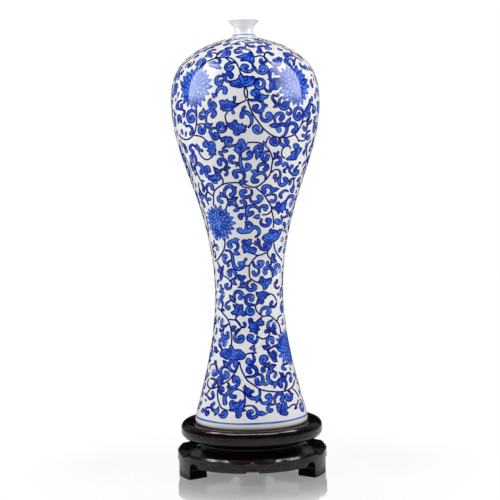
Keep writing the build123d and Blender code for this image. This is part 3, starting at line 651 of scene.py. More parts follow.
# outlined patches: the border, then the veins after semicolons
patches = """
254,57 254.2,62 252,64 249,62 246.5,60.6 243,61 240.4,61 242,58.6 236,57 241,55.4 244,53.4 247,54 249,52.4
252,52.4 ; 251.5,54.5 250,58 249.5,61 ; 242.5,57 246,57.5 249.5,56 | 230,82.5 229.8,84 231.5,86.2 235,86.8
238,87.8 241,87.6 244,86.6 248,86.8 252,85.5 254,82.5 255.3,79.5 254.5,77 252,76 249.5,77 247.5,76
244.5,76.3 243,77 242.5,75 241,73.8 239,75.5 238.5,78 236,80 233,80.5 ; 236.2,81 237.5,79 240,79.6 240.3,82
238.2,83.2 236.5,82 ; 243.5,78.5 245,77 247.3,77.8 247.2,80 245,80.6 243.7,79.4 ; 233,84.5 237,85.8 241,84.5
246,83.5 250.5,81 252.5,78 | 219.2,101.2 222.5,99.8 224.5,101.4 227,99 228.6,101.2 232,101.5 234,103
238.5,103.5 241,102.5 238,105 233.5,108 231.5,110 228,111.5 224.5,110.8 223,111 221.5,109.3 220.3,109
221,106.5 220.2,104 ; 238,104 232,106.8 226,107.5 221.5,107.3 ; 228,102.5 227.5,105 ; 224,103.5 224.5,106.5
| 226,122 229.5,123.3 232.5,122.3 234,120 236.5,120.2 237.3,123.3 240.5,124.6 242.6,123.3 242.8,125.8
246.6,125.3 246.2,127.6 244.9,128.6 246,130 244.6,132.3 240.5,132.9 239,135 235.5,135.3 233.3,133.2
234,130.8 230,128.5 227.3,125.8 ; 229,124.5 234,127 239,129.5 243.5,129.8 ; 238,126 239,129 ; 241,127
242,129.5 | 235.5,145 238,142.3 239,139.5 242,138.8 244.3,140.5 245,143.3 247,144 246,146 247,147.3
249.5,147 249.2,149 246.5,149.3 244,150.8 243.5,152 241.5,152.3 240.5,154.5 239.8,157 238.6,154 236,151.8
233.7,150 235.3,148.3 234.6,146.5 ; 241,141 241.5,146 239.8,152 ; 237,147 240.5,149 ; 244.5,146.5 241,149.5
| 203,143.5 202.8,145.5 205,147.5 208,147 208.5,149 207,151 209.5,152 209,154.5 211,155.5 213,156.5 214,154
216.2,155 215,151.5 216.3,150.5 215.2,148.5 215.3,144.5 213.5,141.8 211,141.2 209,142.5 206.5,140.3
204.5,141.5 ; 207,143 210.5,148 211.5,154 ; 213,144 212.5,150 | 293.3,146 293.8,143.8 296.5,143.5 298.8,145
299.3,148.5 301.8,147.8 301,150.5 299.3,153 297.5,155.5 296,159.5 293,160 287,160 286,158.8 289.5,156.5
292,153.5 290.5,152 293.5,151.3 296,149.3 294,148.3 ; 298,147 296.5,152 292,157 | 258,100 259,96 262,93.8
264.5,95.3 269,95 266.8,98.2 263.5,99.5 262,102 | 204.5,124 207,122.5 210,124 212.8,123.3 211,126
208.5,128.5 206.5,127.5 | 269.3,125.3 273,123.3 277.5,123.3 280,125 276,127.5 272,127.3 | 285.5,125.5
285.5,122.5 287.5,119.8 290.8,117.3 290,121 289.5,124.3 287.5,126.5 | 218.5,136.5 221.5,137.8 226.3,136
225,139 224,141.5 221.5,142 220.5,139.5 | 219,151 221.5,151.5 223.8,156.5 220.5,155.5 218.6,153 | 283,53
286,52.8 289.5,53.3 292.5,56.5 289.5,55.8 286.5,56.8 284.3,56.3 | 306.5,120 308.5,119.5 309.8,121.5
312,119.3 310.5,123 308.3,124.5 | 273.5,152.5 276,153.5 278.5,150.8 279,153 276.8,155.5 278,158.5 275,158 |
274,100 277,103 279,105 276.5,107.5 273,107.3 275,105.3 | 213.3,166 214.8,169.5 217.5,168.5 219.5,170.5
222.5,170 220.5,172.5 219.5,175 221.5,178 219,180.5 215,179.5 211.5,180.5 208.5,179.5 210,177 213,176.5
215.5,173.5 214.5,170.5 ; 215,170 217.5,174 215.5,178.5 | 227,199.5 229.5,198.5 232,199.5 234.5,198
237.5,196.8 235.5,200 235.8,203 238,205.5 234.5,206 232,204.5 229.5,206 227,205 228,202 ; 229,203
232.5,201.5 235.5,199 | 272,207 276,206.5 276,203 279,201.5 280,204 283.5,202 286.3,199.5 286.3,204 285,207
286,210 283,209.5 282.5,213 280,211 278.5,214 276.5,210.5 272.5,208.5 ; 274,207.5 279,207.5 284.5,202.5 ;
279.5,204 281,206.5 ; 279,208 281.5,210.5 | 241.5,241.5 244,239.5 247,240.3 249.5,239 252,239.8 250.3,242
252.5,243.2 250,245.2 250.5,247.6 254,247 256.5,248.5 256.3,251.3 253.5,254.3 250,252.8 246.5,252
243.8,253.2 243.5,250 241.8,247 243,244 ; 243.5,242 247,246 249,251 ; 249,242 247.5,245.5 ; 255,249.5
251.5,250.5 | 262,238.5 263.5,235.5 266.5,234 269,232.8 269.2,230 270.8,228.6 273,230.2 275,229.8 277,231
279.5,229.3 282.5,229 281,231.8 280,235 278,238.5 275,241 271.5,242.8 267.5,242 264.5,241 ; 265.5,238.5
268.5,240.2 272,238.8 274,236 ; 270,232 272.3,233.6 275.3,231.6 ; 274.3,236.6 277.6,235.4 277.8,232.6
275.3,231.8 274.8,234 ; 266,236.5 269,236 269.5,238 | 217.5,270 219.5,268.5 219,266.5 221.5,267.5
223.5,265.5 223.5,269 222.5,272 223.5,275 222,278 221,281 220,277 220.5,273 218.5,272 ; 221.5,268.5
221.5,273 221,278 | 233,304 235.5,305.5 236.5,303.5 239.5,305 242.5,304.5 243,308 242.5,311 245.5,312
246,315 243,316.5 241,314.5 238,315.5 236,317.5 235.5,314.5 232.5,314.5 231,312.5 233.5,311 235,311
234.5,308 ; 236.3,316 238.5,310.5 240.5,306 ; 234.5,306 238,309 ; 244,314 239.5,311.5 | 229.5,295.5 232,296
234,297.5 235,300 235.5,303 233,302 231,300.5 230,298 | 258,282 260,279.5 260.2,277 262.5,276.3 264,278.5
266,279.5 268.5,278.5 271.5,277.8 271.5,280.5 270.5,283.5 268.5,284.5 267.5,287 266,289 263.5,289.8 263,287
261.5,284.5 259,283.5 ; 259.5,282 264.5,281.8 270,279 ; 262,278.5 263.5,281.5 ; 265,288 265.5,283 |
231,279.5 234.5,278.5 235,282 237,285 234,284.5 231.5,283.5 | 237,275.3 240,274.5 242,276.5 243.5,275.3
245.8,276.3 245.3,278.5 242.8,279.3 243.5,282 246.5,283 243,284.5 240.8,282.5 240.5,280.3 238,279.8
238.8,277.5 | 238,287.5 240.5,285.5 240,283.5 243,284 246.5,282.5 248.5,283 246.8,285.5 245.5,288 242,287.8
| 256,292 259,292.5 262,291.3 265,291.6 267.5,292.8 270.5,294 267,296 265.5,298.5 263.5,299 264,302
262,304.3 259.5,303 256,305 257,301 258.5,297.5 256.5,295.5 ; 257.5,303 260.5,297 268,294 ; 258,293.5
261,296 ; 262.5,302 261,298.5 | 270,258.5 272,256.5 272.8,253.8 274.8,254.3 275,257.5 273.8,259.5
276.8,261.5 273.8,263 271.5,262.3 | 248.5,321.5 248.5,319 251,318 252.8,319.8 253,322 255.5,322.5 258,320
261,317.5 261.5,320.5 263.8,321.5 264,324.5 261.5,325.8 259,325 258.5,327.5 260,329.5 257.5,331 257.5,334.5
255,333.5 253,331.5 250,332 250.5,329 248.3,327.5 250,325.5 249.3,323.5 ; 260,319.5 256.5,325 256.5,332 ;
250.5,320.5 255,326 ; 262.5,323.5 257.5,325.5 ; 251,329.5 255.5,328.5 | 264.3,331.5 266.5,329.3 269.5,329.8
271.5,327.5 272.8,324.8 275,325.5 275,329 274.8,331.8 277.5,334.8 274,334.2 271.8,331.8 269,331.5 267.5,333
265,333 ; 266.5,331.3 271,330.3 275.5,333.5 ; 273.8,326.5 273,330.5 | 262,345.5 264.5,347.3 267,346.5
269,344.5 271,347.5 270,349.5 266.5,349.8 264,349.3 | 269,351 270.5,353 273,352 273.5,354.5 275,353
275.5,356.5 274.5,358.5 277.5,361.5 274,362 272,359.5 270.5,357 269,354.5 ; 270.5,354 273,357.5 275.5,360.8
| 268.8,365.5 271,364.5 273,365.5 275.5,364.3 273.8,367.2 272.5,369.5 272.8,372.5 270.5,373.5 269.5,370 |
220,354 221,351 223.5,349.5 226.5,348.6 228.5,350 229.5,347.5 230,345.2 232,345.5 233.3,348 234.5,350
237.5,349.5 240.5,349.8 242.5,351.8 244.8,353.8 246,356 244,358.8 240,359.8 236.5,359.5 233,360 229.5,359
226,359.3 223.5,357.5 221,356.5 ; 228.3,355.5 226.5,353.7 227.5,351.2 230,351.3 230.5,353.5 229,354.5 ;
234,354 236,355.5 238.5,353.5 237.5,351 235.2,351.5 235,353 ; 223,355 227,358 231,355.8 235,357.5 240,355.5
244,356.8 ; 231,348 231.5,350.5 233,352.5 | 214.5,346.5 217,347.5 216.5,350 219,351 216.5,353 214.5,351.5 |
223,360 225.3,362.3 228.5,363 228.3,366 225,366.5 223.8,364 | 211.5,409 214,410 216.5,409 218.8,406.5
219,410.5 217.5,413.5 214.5,415.5 215,412.5 212.5,411.5 | 228,410 230.5,409.5 230,406.5 229.3,403.5
231,400.5 233.5,400.5 235,402.5 234.5,404.5 236,402 238.5,402.8 240.5,399.5 241.5,402.5 243,400.5
245.5,398.5 245.3,403 244.5,406 243,408.5 246,410.5 242.5,411.5 241,411 241.5,414.5 240.5,417 238,418.3
235.5,416.5 236.2,413.5 234.5,411 231.5,411.2 ; 230,410 237,408 243.5,401.5 ; 232,402.5 233.5,405.5
236.5,407.5 ; 238.5,416.5 238.8,411.5 238,408.5 ; 240,403 240.5,405.5 ; 243.5,410 240,408 | 243.3,388.3
245,385 246.3,387.2 249,388.3 251.5,391 250.5,393.5 252.5,397.5 249,395.5 246,393 244.8,390.5 ; 245.5,387.5
248,391.5 251,395.5 | 281.5,402 284,401.5 286.5,403 286.5,405.5 288,408 286,410 288.3,413.5 286.5,415.5
283.5,415.2 280,414.2 281.5,411.5 280.5,408.5 282,406 ; 284.5,403.5 284,408 285,414 | 276.3,405 279.3,402.8
281.2,406 280,411 281,413.5 277.8,412 276.8,408.5 | 279,372 281,373.8 283,372.3 283.3,375.5 284,378
286.5,375.5 285.5,379 283,380.5 282,383 281.8,386.3 279.5,386 279,383 277.5,381.5 280,379.8 281.5,377.5
280.5,375 ; 282,374 282.5,378.5 280.5,384 | 271.8,382 274.5,381.5 277.5,382 279,384 276,385 274.5,388.5
273.3,385.5 | 290.5,173.5 293,173 295.5,170.3 298.5,169.8 299,173 296.3,175.6 293,176
"""
# middle and radius of each flower and of each dot
flowers = [(193.6, 87, 21.5), (295.3, 84.5, 21.2), (218.8, 222.3, 18.6), (287, 347.5, 19.3)]
dots = [(225.8, 168, 1.5), (230.8, 201.4, 1.6), (299.7, 162.8, 1.5),
        (222, 289, 1.4), (222, 309.4, 1.4), (252, 348.5, 1.6)]


# each run of a text as an array of points
def runsOf(text):
    return [np.array([spot.split(",") for spot in run.split()], float) for run in text.split("|")]


# points at given ways along a run
def evenly(points, gone, even):
    return np.stack([np.interp(even, gone, points[:, k]) for k in (0, 1)], axis=1)


# smooth run through picture points in even steps, the share of the way at each, the length
def smoothRun(points, step):
    if len(points) > 2:
        points = splineThrough(points, points[1] - points[0], points[-1] - points[-2], paint["perSpan"])
    gone = wayAlong(points)
    even = np.linspace(0, gone[-1], max(paint["leastPoints"], int(gone[-1] / step) + 1))
    return evenly(points, gone, even), even / gone[-1], gone[-1]


# metres nearer and farther than the vase's axis where a ray of sight is searched for its surface
raySearch = {"nearer": 0.10, "farther": 0.06, "steps": 321}


# picture points to turn angle and way along the side, on the vase as this camera sees it
def onVase(pixels):
    view, search = cameraSet, raySearch
    half = view["picturePixels"] / 2
    deep = np.full(len(pixels), -view["focalPixels"])
    aim = np.stack([pixels[:, 0] - half, half - pixels[:, 1], deep], axis=1)
    aim = aim @ np.array(cameraPlace.to_3x3()).T
    aim /= np.linalg.norm(aim, axis=1)[:, None]
    near, far = view["distance"] - search["nearer"], view["distance"] + search["farther"]
    reach = np.linspace(near, far, search["steps"])
    place = np.array(cameraPlace.translation) + reach[:, None, None] * aim[None]
    surface = np.interp(place[..., 2], outline[:, 1], outline[:, 0])
    gap = np.hypot(place[..., 0], place[..., 1]) - surface
    hit = gap < 0
    first = np.where(hit.any(axis=0), hit.argmax(axis=0), gap.argmin(axis=0))
    first = np.maximum(first, 1)
    rows = np.arange(len(pixels))
    before, after = gap[first - 1, rows], gap[first, rows]
    share = np.where(hit.any(axis=0), before / np.maximum(before - after, 1e-9), 1.0)
    spot = place[first - 1, rows] + share[:, None] * (place[first, rows] - place[first - 1, rows])
    return np.stack([np.arctan2(spot[:, 0], -spot[:, 1]), wayAt(spot[:, 2])], axis=1)


# one stroke of a motif: its path in picture pixels, or turn and way once laid on the vase, half widths
class Stroke:
    def __init__(self, motif, layer, path, half, laid=False):
        self.motif, self.layer, self.path, self.half, self.laid = motif, layer, path, half, laid


strokes = []
motif = 0


def stroke(layer, path, half, laid=False):
    strokes.append(Stroke(motif, layer, path, np.maximum(half, paint["thinnest"]), laid))


# dark edge with a lighter wash inside it
def filled(layer, path, half, rim=paint["rim"], laid=False):
    stroke("line" + layer, path, half, laid)
    inner = half - rim
    keep = np.where(inner > paint["leastWash"])[0]
    if len(keep) > paint["leastRun"]:
        span = slice(keep[0], keep[-1] + 1)
        stroke("wash" + layer, path[span], inner[span], laid)


def addVine(points):
    path, _, _ = smoothRun(points, paint["step"])
    stroke("line0", path, np.full(len(path), paint["vineHalf"]))


# half width along a curl, thin at the stem and round at the bulb
curlShape = {
    "at": [0, 0.12, 0.4, 0.75, 1], "half": [1.05, 1.3, 1.85, 2.2, 2.45],
    "sizes": (0.78, 1.08), "fullLength": 16,
    "capSteps": np.array([0.25, 0.5, 0.7, 0.85, 0.95, 1.0]),
}


def addCurl(points):
    path, share, length = smoothRun(points, paint["step"])
    smallest, largest = curlShape["sizes"]
    size = min(largest, max(smallest, length / curlShape["fullLength"]))
    bulb = curlShape["half"][-1] * size
    ahead = path[-1] - path[-3]
    ahead = ahead / max(np.linalg.norm(ahead), 1e-6)
    cap = path[-1] + curlShape["capSteps"][:, None] * ahead * bulb
    half = np.interp(share, curlShape["at"], curlShape["half"]) * size
    capHalf = bulb * np.sqrt(1 - curlShape["capSteps"]**2)
    filled("0", np.vstack([path, cap]), np.concatenate([half, capHalf]))


# a pointed leaf at the back of a curl
barbShape = {"at": [0, 0.3, 0.6, 1], "share": [0.75, 1, 0.72, 0.02], "halves": (1.8, 2.9), "slope": 0.4}


def addBarb(points):
    path, share, length = smoothRun(points, paint["fineStep"])
    narrowest, widest = barbShape["halves"]
    wide = min(widest, max(narrowest, barbShape["slope"] * length))
    filled("0", path, np.interp(share, barbShape["at"], barbShape["share"]) * wide)


# a border filled with wash and drawn round in dark, with veins
patchShape = {"borderHalf": 0.62, "veinAt": [0, 0.4, 1], "veinHalf": [0.42, 0.5, 0.25]}


def addPatch(text):
    step = paint["fineStep"]
    border, *lines = [runsOf(part)[0] for part in text.split(";")]
    loop = np.vstack([border, border[:2]])
    gone = wayAlong(loop)
    path = evenly(loop, gone, np.arange(0, gone[-1], step))
    strokes.append(Stroke(motif, "fill0", path[: int(gone[-2] / step) : 2], None))
    stroke("line1", path, np.full(len(path), patchShape["borderHalf"]))
    for line in lines:
        vein, share, _ = smoothRun(line, step)
        stroke("line1", vein, np.interp(share, patchShape["veinAt"], patchShape["veinHalf"]))


# rings of pointed petals, the inner ones over the outer ones, each petal with a pale streak
petalRings = [
    {"count": 19, "inner": 5.5, "outer": 17.4, "half": 2.15, "turn": 0.0},
    {"count": 16, "inner": 4.0, "outer": 13.2, "half": 2.05, "turn": 0.5},
    {"count": 12, "inner": 2.5, "outer": 9.3, "half": 1.95, "turn": 0.2},
    {"count": 8, "inner": 0.6, "outer": 5.7, "half": 1.75, "turn": 0.6},
]
petalShape = {
    "at": [0, 0.35, 0.65, 0.85, 1], "share": [0.62, 0.9, 1, 0.66, 0.02], "steps": 18,
    "unevenness": 0.05, "lengthWaves": 5, "bendWaves": 3, "streak": slice(5, 13), "streakShare": 0.18,
}


def addFlower(spot):
    turn0, way0 = onVase(np.array([spot[:2]]))[0]
    size = spot[2] / petalRings[0]["outer"]
    share = np.linspace(0, 1, petalShape["steps"])

    def local(points):
        way = way0 + points[:, 1] * mm
        return np.stack([turn0 + points[:, 0] * mm / radiusOn(way), way], axis=1)

    for number, ring in enumerate(petalRings):
        for k in range(ring["count"]):
            angle = 2 * math.pi * (k + ring["turn"]) / ring["count"]
            longer = petalShape["unevenness"] * math.sin(petalShape["lengthWaves"] * angle)
            outer = ring["outer"] * (1 + longer)
            away = (ring["inner"] + share * (outer - ring["inner"])) * size
            bend = angle + petalShape["unevenness"] * share * math.sin(petalShape["bendWaves"] * angle)
            path = np.stack([away * np.sin(bend), away * np.cos(bend)], axis=1)
            half = np.interp(share, petalShape["at"], petalShape["share"]) * ring["half"] * size
            filled(str(number), local(path), half, paint["petalRim"], True)
            streakHalf = half[petalShape["streak"]] * petalShape["streakShare"]
            stroke("pale" + str(number), local(path[petalShape["streak"]]), streakHalf, True)


def addDot(spot):
    x, y, size = spot
    across = np.linspace(-1, 1, paint["dotSteps"])
    stroke("line0", np.array([x, y]) + across[:, None] * np.array([size, 0]), size * np.sqrt(1 - across**2))


vineRuns, curlRuns = runsOf(vines), runsOf(curls)
for add, shapes in ((addVine, vineRuns), (addCurl, curlRuns), (addBarb, runsOf(barbs)),
                    (addPatch, patches.split("|")), (addFlower, flowers), (addDot, dots)):
    for shape in shapes:
        add(shape)
        motif += 1

# all picture paths are laid on the vase in one go
loose = [entry for entry in strokes if not entry.laid]
cut = np.cumsum([len(entry.path) for entry in loose])[:-1]


# directions of length 1
def unit(ways):
    return ways / np.maximum(np.linalg.norm(ways, axis=1), 1e-6)[:, None]


# the way square to a stroke in the picture, as long as the stroke is half wide
def sideways(entry):
    if entry.half is None:
        return np.zeros(2)
    return unit(np.gradient(entry.path, axis=0))[:, ::-1] * (-1, 1) * entry.half[:, None]


def layDown(side):
    return np.split(onVase(np.vstack([entry.path + side * sideways(entry) for entry in loose])), cut)


# a stroke that lies slanted to the camera is widened until it looks nearly as wide as drawn
for entry, path, one, other in zip(loose, layDown(0), layDown(1), layDown(-1)):
    if entry.half is not None:
        flat = np.stack([radiusOn(path[:, 1]), np.ones(len(path))], axis=1) / mm
        along = unit(np.gradient(path, axis=0) * flat)
        across = (one - other) * flat / 2
        wide = np.abs(across[:, 0] * along[:, 1] - across[:, 1] * along[:, 0])
        entry.half = entry.half * np.clip(wide / entry.half, *paint["widen"]) ** paint["widenPower"]
    entry.path = path
print("strokes drawn", len(strokes), "in", motif, "motifs")


# the part of a vine that isn't too close to the photo's silhouettes
def cutBack(entry):
    kept = np.abs(entry.path[:, 0]) < math.radians(paint["vineReach"])
    runs = np.split(np.arange(len(kept)), np.flatnonzero(np.diff(kept)) + 1)
    return [Stroke(entry.motif, entry.layer, entry.path[run], entry.half[run], True)
            for run in runs if kept[run[0]] and len(run) > paint["leastRun"]]


# how far a motif reaches from the middle of the front, as an angle
def reachOf(group):
    return max(np.abs(entry.path[:, 0]).max() for entry in group)


# a laid path as places in metres, turned round the vase
def spotsOn(path, turn):
    radius = radiusOn(path[:, 1])
    angle = (path[:, 0] + turn + math.pi) % (2 * math.pi) - math.pi
    return np.stack([radius * np.sin(angle), -radius * np.cos(angle), heightOn(path[:, 1])], axis=1)


# room taken up by paint, in cells as wide as motifs keep apart
def cellsOf(spots):
    return {tuple(cell) for cell in np.floor(spots / (paint["keepApart"] * mm)).astype(int)}


around = [(i, j, k) for i in (-1, 0, 1) for j in (-1, 0, 1) for k in (-1, 0, 1)]


# the cells and all those next to them
def besides(cells):
    return {(i + a, j + b, k + c) for i, j, k in cells for a, b, c in around}


# the same scroll again behind, and on each flank the middle of it where nothing is painted yet
groups = [[entry for entry in strokes if entry.motif == number] for number in range(motif)]
firstCurl = len(vineRuns)
shown = [piece for group in groups[:firstCurl] for entry in group for piece in cutBack(entry)]
shown += [entry for group in groups[firstCurl:] for entry in group]
copies = [(entry, turn) for turn in (0.0, math.pi) for entry in shown]
taken = set()
for entry, turn in copies:
    taken |= cellsOf(spotsOn(entry.path, turn))
middle = [group for group in groups if reachOf(group) <= math.radians(paint["sideReach"])]
added = 0
for side in (90, -90):
    for shift in paint["flankShifts"]:
        turn = math.radians(side + shift)
        filledNow = set()
        for group in middle:
            spots = np.vstack([entry.path for entry in group])
            small = np.ptp(spots[:, 1]) < paint["smallest"] * mm
            if shift and (small or group[0].motif < firstCurl):
                continue
            cells = cellsOf(spotsOn(spots, turn))
            if besides(cells) & taken:
                continue
            filledNow |= cells
            copies += [(entry, turn) for entry in group]
            added += 1
        taken |= filledNow
print("motifs added on the flanks", added)

# short curls from the middle of the front, moved to where the dome and the flanks are still bare
shortOnes = []
for group in middle:
    if not firstCurl <= group[0].motif < firstCurl + len(curlRuns):
        continue
    spots = np.vstack([entry.path for entry in group])
    centre = (spots.max(axis=0) + spots.min(axis=0)) / 2
    reach = np.ptp(spots, axis=0) * (radiusOn(centre[1]), 1)
    shortest, longest = (size * mm for size in paint["bareSize"])
    if shortest < reach.max() < longest and reach.min() > paint["bareNarrowest"] * mm:
        shortOnes.append((group, centre))


# a laid path moved to another turn and way, its size kept
def moved(path, centre, turn, way):
    spread = (path[:, 0] - centre[0]) * radiusOn(path[:, 1])
    along = way + path[:, 1] - centre[1]
    return np.stack([turn + spread / radiusOn(along), along], axis=1)


blocked = besides(taken)
shoulder = outlineStep[outline[:, 0].argmax()]
lowest = wayAt(seatHeight + paint["lowest"] * mm)
highest = outlineStep[outline[:, 0] > paint["ringRadius"] * mm].max()
bareStep = paint["bareStep"] * mm
added = tried = 0
for way in np.arange(lowest, highest, bareStep):
    radius = radiusOn(way)
    onDome = way > shoulder and radius < paint["domeRadius"] * mm
    count = int(2 * math.pi * radius / bareStep)
    for turn in np.arange(count) * 2 * math.pi / count:
        fromFront = abs((turn + math.pi / 2) % math.pi - math.pi / 2)
        onFront = not onDome and fromFront < math.radians(paint["frontHalf"])
        if onFront or cellsOf(spotsOn(np.array([[turn, way]]), 0.0)) & blocked:
            continue
        for _ in range(paint["bareTries"]):
            group, centre = shortOnes[tried % len(shortOnes)]
            tried += 1
            paths = [moved(entry.path, centre, turn, way) for entry in group]
            spots = np.vstack(paths)
            cells = cellsOf(spotsOn(spots, 0.0))
            if spots[:, 1].min() < lowest or spots[:, 1].max() > highest or cells & blocked:
                continue
            blocked |= besides(cells)
            copies += [(Stroke(entry.motif, entry.layer, path, entry.half, True), 0.0)
                       for entry, path in zip(group, paths)]
            added += 1
            break
print("curls added where it was bare", added, "out of", len(shortOnes), "kinds")


# a flat brush led along a path on the vase, its width from the path's radius
def makeBrushGroup():
    group, tree, entry, ids = nodeGroup("brushStrokes", "Surface", "NodeSocketObject")
    body = tree.node("GeometryNodeObjectInfo", {"Object": entry["Surface"]})
    facing = tree.node("GeometryNodeSampleNearestSurface", {
        "Mesh": body["Geometry"], "Value": tree.node("GeometryNodeInputNormal")}, data_type="FLOAT_VECTOR")
    upright = tree.node("GeometryNodeSetCurveNormal", {
        0: entry["Geometry"], "Normal": facing}, mode="FREE")
    tip = tree.node("GeometryNodeCurvePrimitiveLine", {"Start": (0, -1, 0), "End": (0, 1, 0)})
    width = tree.node("GeometryNodeInputRadius")
    endGroup(tree, entry, tree.node("GeometryNodeCurveToMesh", {0: upright, 1: tip, "Scale": width}))
    return group, ids


# a closed border laid flat (turn and way as its two axes) is filled and cut small
def makeFillGroup():
    group, tree, entry, ids = nodeGroup("filledBorders", "Cuts", "NodeSocketInt")
    sheet = tree.node("GeometryNodeFillCurve", {0: entry["Geometry"]})
    endGroup(tree, entry, tree.node("GeometryNodeSubdivideMesh", {0: sheet, "Level": entry["Cuts"]}))
    return group, ids


brushGroup, fillGroup = makeBrushGroup(), makeFillGroup()
sideTurn = np.gradient(outline, axis=0)
sideTurn /= np.linalg.norm(sideTurn, axis=1)[:, None]


# places at a lift over the glaze, and the way the glaze faces there
def standing(way, turn, lift):
    rise, spread = (np.interp(way, outlineStep, sideTurn[:, k]) for k in (1, 0))
    facing = np.stack([rise, -spread], axis=1)
    facing /= np.linalg.norm(facing, axis=1)[:, None]
    out = radiusOn(way) + facing[:, 0] * lift
    up = heightOn(way) + facing[:, 1] * lift
    place = np.stack([out * np.sin(turn), -out * np.cos(turn), up], axis=1)
    level, upward = facing[:, 0], facing[:, 1]
    normal = np.stack([level * np.sin(turn), -level * np.cos(turn), upward], axis=1)
    return place, normal


# nearest way along the side for points near the vase, searched within a reach in mm
waySearch = {"reach": 1.2, "steps": 49}


def nearestWay(places):
    out = np.hypot(places[:, 0], places[:, 1])
    guess = wayAt(places[:, 2])
    best, bestGap = guess, np.full(len(places), 1e9)
    for shift in np.linspace(-waySearch["reach"], waySearch["reach"], waySearch["steps"]) * mm:
        way = np.clip(guess + shift, 0, outlineStep[-1])
        gap = np.hypot(radiusOn(way) - out, heightOn(way) - places[:, 2])
        closer = gap < bestGap
        best, bestGap = np.where(closer, way, best), np.where(closer, gap, bestGap)
    return best


def pointsOf(mesh):
    flat = np.empty(len(mesh.vertices) * 3)
    mesh.vertices.foreach_get("co", flat)
    return flat.reshape(-1, 3)


# both sheets come as turn and way of each corner, and triangles
def filledSheet(layer, material):
    stretch, cuts = paint["flatStretch"], paint["fillCuts"]
    spots, faces, base = [], [], 0
    for entry, turn in copies:
        if entry.layer != layer:
            continue
        run = np.zeros((len(entry.path), 3))
        run[:, 0] = entry.path[:, 0] + turn
        run[:, 1] = entry.path[:, 1] * stretch
        source = curveObject("border", [run], cyclic=True)
        made = evaluated(source, fillGroup, (cuts, material), "sheet")
        mesh = made.data
        mesh.calc_loop_triangles()
        corners = np.empty(len(mesh.loop_triangles) * 3, int)
        mesh.loop_triangles.foreach_get("vertices", corners)
        spots.append(pointsOf(mesh))
        faces.append(corners.reshape(-1, 3) + base)
        base += len(mesh.vertices)
        bpy.data.objects.remove(made)
    spots = np.vstack(spots)
    return spots[:, 0], spots[:, 1] / stretch, np.vstack(faces)


def brushedSheet(layer, material, lift):
    mine = [(entry, turn) for entry, turn in copies if entry.layer == layer]
    runs = [standing(entry.path[:, 1], entry.path[:, 0] + turn, lift)[0] for entry, turn in mine]
    source = curveObject(layer, runs, [entry.half * mm for entry, _ in mine])
    made = evaluated(source, brushGroup, (vaseBody, material), layer)
    spots = pointsOf(made.data)
    ring = np.empty(len(made.data.loops), int)
    made.data.loops.foreach_get("vertex_index", ring)
    ring = ring.reshape(-1, 4)
    bpy.data.objects.remove(made)
    halves = np.vstack([ring[:, [0, 1, 2]], ring[:, [0, 2, 3]]])
    return np.arctan2(spots[:, 0], -spots[:, 1]), nearestWay(spots), halves


def paintedPiece(name, kind, material, firstLift):
    corners, faces, normals, maps = [], [], [], []
    base, wholeTurn = 0, 2 * math.pi
    for layer in sorted({entry.layer for entry, _ in copies if entry.layer.startswith(kind)}):
        lift = (firstLift + paint["layerGap"] * paint["ringLayers"] * int(layer[-1])) * mm
        if kind == "fill":
            turn, way, sheet = filledSheet(layer, material)
        else:
            turn, way, sheet = brushedSheet(layer, material, lift)
        place, normal = standing(way, turn, lift)
        corners.append(place)
        normals.append(normal)
        turn = turn - wholeTurn * np.round(turn / wholeTurn)
        maps.append(np.stack([turn / wholeTurn + 0.5, way / outlineStep[-1]], axis=1))
        faces.append(sheet + base)
        base += len(place)
    corners, faces, normals, maps = (np.vstack(part) for part in (corners, faces, normals, maps))
    first, second, third = (corners[faces[:, k]] for k in (0, 1, 2))
    inward = (np.cross(second - first, third - first) * normals[faces[:, 0]]).sum(axis=1) < 0
    faces[inward] = faces[inward][:, ::-1]
    mesh = bpy.data.meshes.new(name)
    mesh.from_pydata(corners.tolist(), [], faces.tolist())
    mesh.materials.append(material)
    mesh.shade_smooth()
    flat = maps[faces.ravel()].reshape(-1, 3, 2)
    wide = np.ptp(flat[:, :, 0], axis=1) > 0.5
    flat[wide, :, 0] = np.where(flat[wide, :, 0] < 0.5, flat[wide, :, 0] + 1, flat[wide, :, 0])
    flat[:, :, 0] /= paint["seamRoom"]
    mesh.uv_layers.new(name="OFBake").data.foreach_set("uv", flat.ravel())
    mesh.normals_split_custom_set_from_vertices(normals.tolist())
    piece = bpy.data.objects.new(name, mesh)
    scene.collection.objects.link(piece)
    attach(piece, "vase")
    print(name, len(faces), "triangles")
    return piece


paintedPieces = [
    paintedPiece("cobaltLine", "line", blues["cobaltLine"], paint["lift"]),
    paintedPiece("cobaltWash", "wash", blues["cobaltWash"], paint["lift"] + paint["layerGap"]),
    paintedPiece("cobaltFill", "fill", blues["cobaltWash"], paint["lift"] + paint["layerGap"]),
    paintedPiece("cobaltPale", "pale", blues["cobaltPale"], paint["lift"] + 2 * paint["layerGap"]),
]

# the two blue lines, at the foot of the neck and over the vase's foot; waves as amount, count and phase
bands = {"neckLine": {"at": 385.4, "half": 0.75}, "footLine": {"at": 7.4, "half": 0.85}}
bandWaves = {"waver": (0.1, 3, 0), "tremble": (0.06, 7, 1), "swell": (0.15, 5, 0.5), "steps": 241}
turns = np.linspace(0, 2 * math.pi, bandWaves["steps"])


def bandWave(name, unitLength=1):
    amount, count, phase = bandWaves[name]
    return amount * unitLength * np.sin(count * turns + phase)


for band in bands.values():
    way = wayAt(band["at"] * mm + seatHeight) + (bandWave("waver", mm) + bandWave("tremble", mm))
    half = band["half"] * (1 + bandWave("swell"))
    copies.append((Stroke(motif, "band0", np.stack([turns, way], axis=1), half, True), 0.0))
paintedPieces.append(paintedPiece("cobaltBand", "band", blues["cobaltBand"], paint["lift"]))

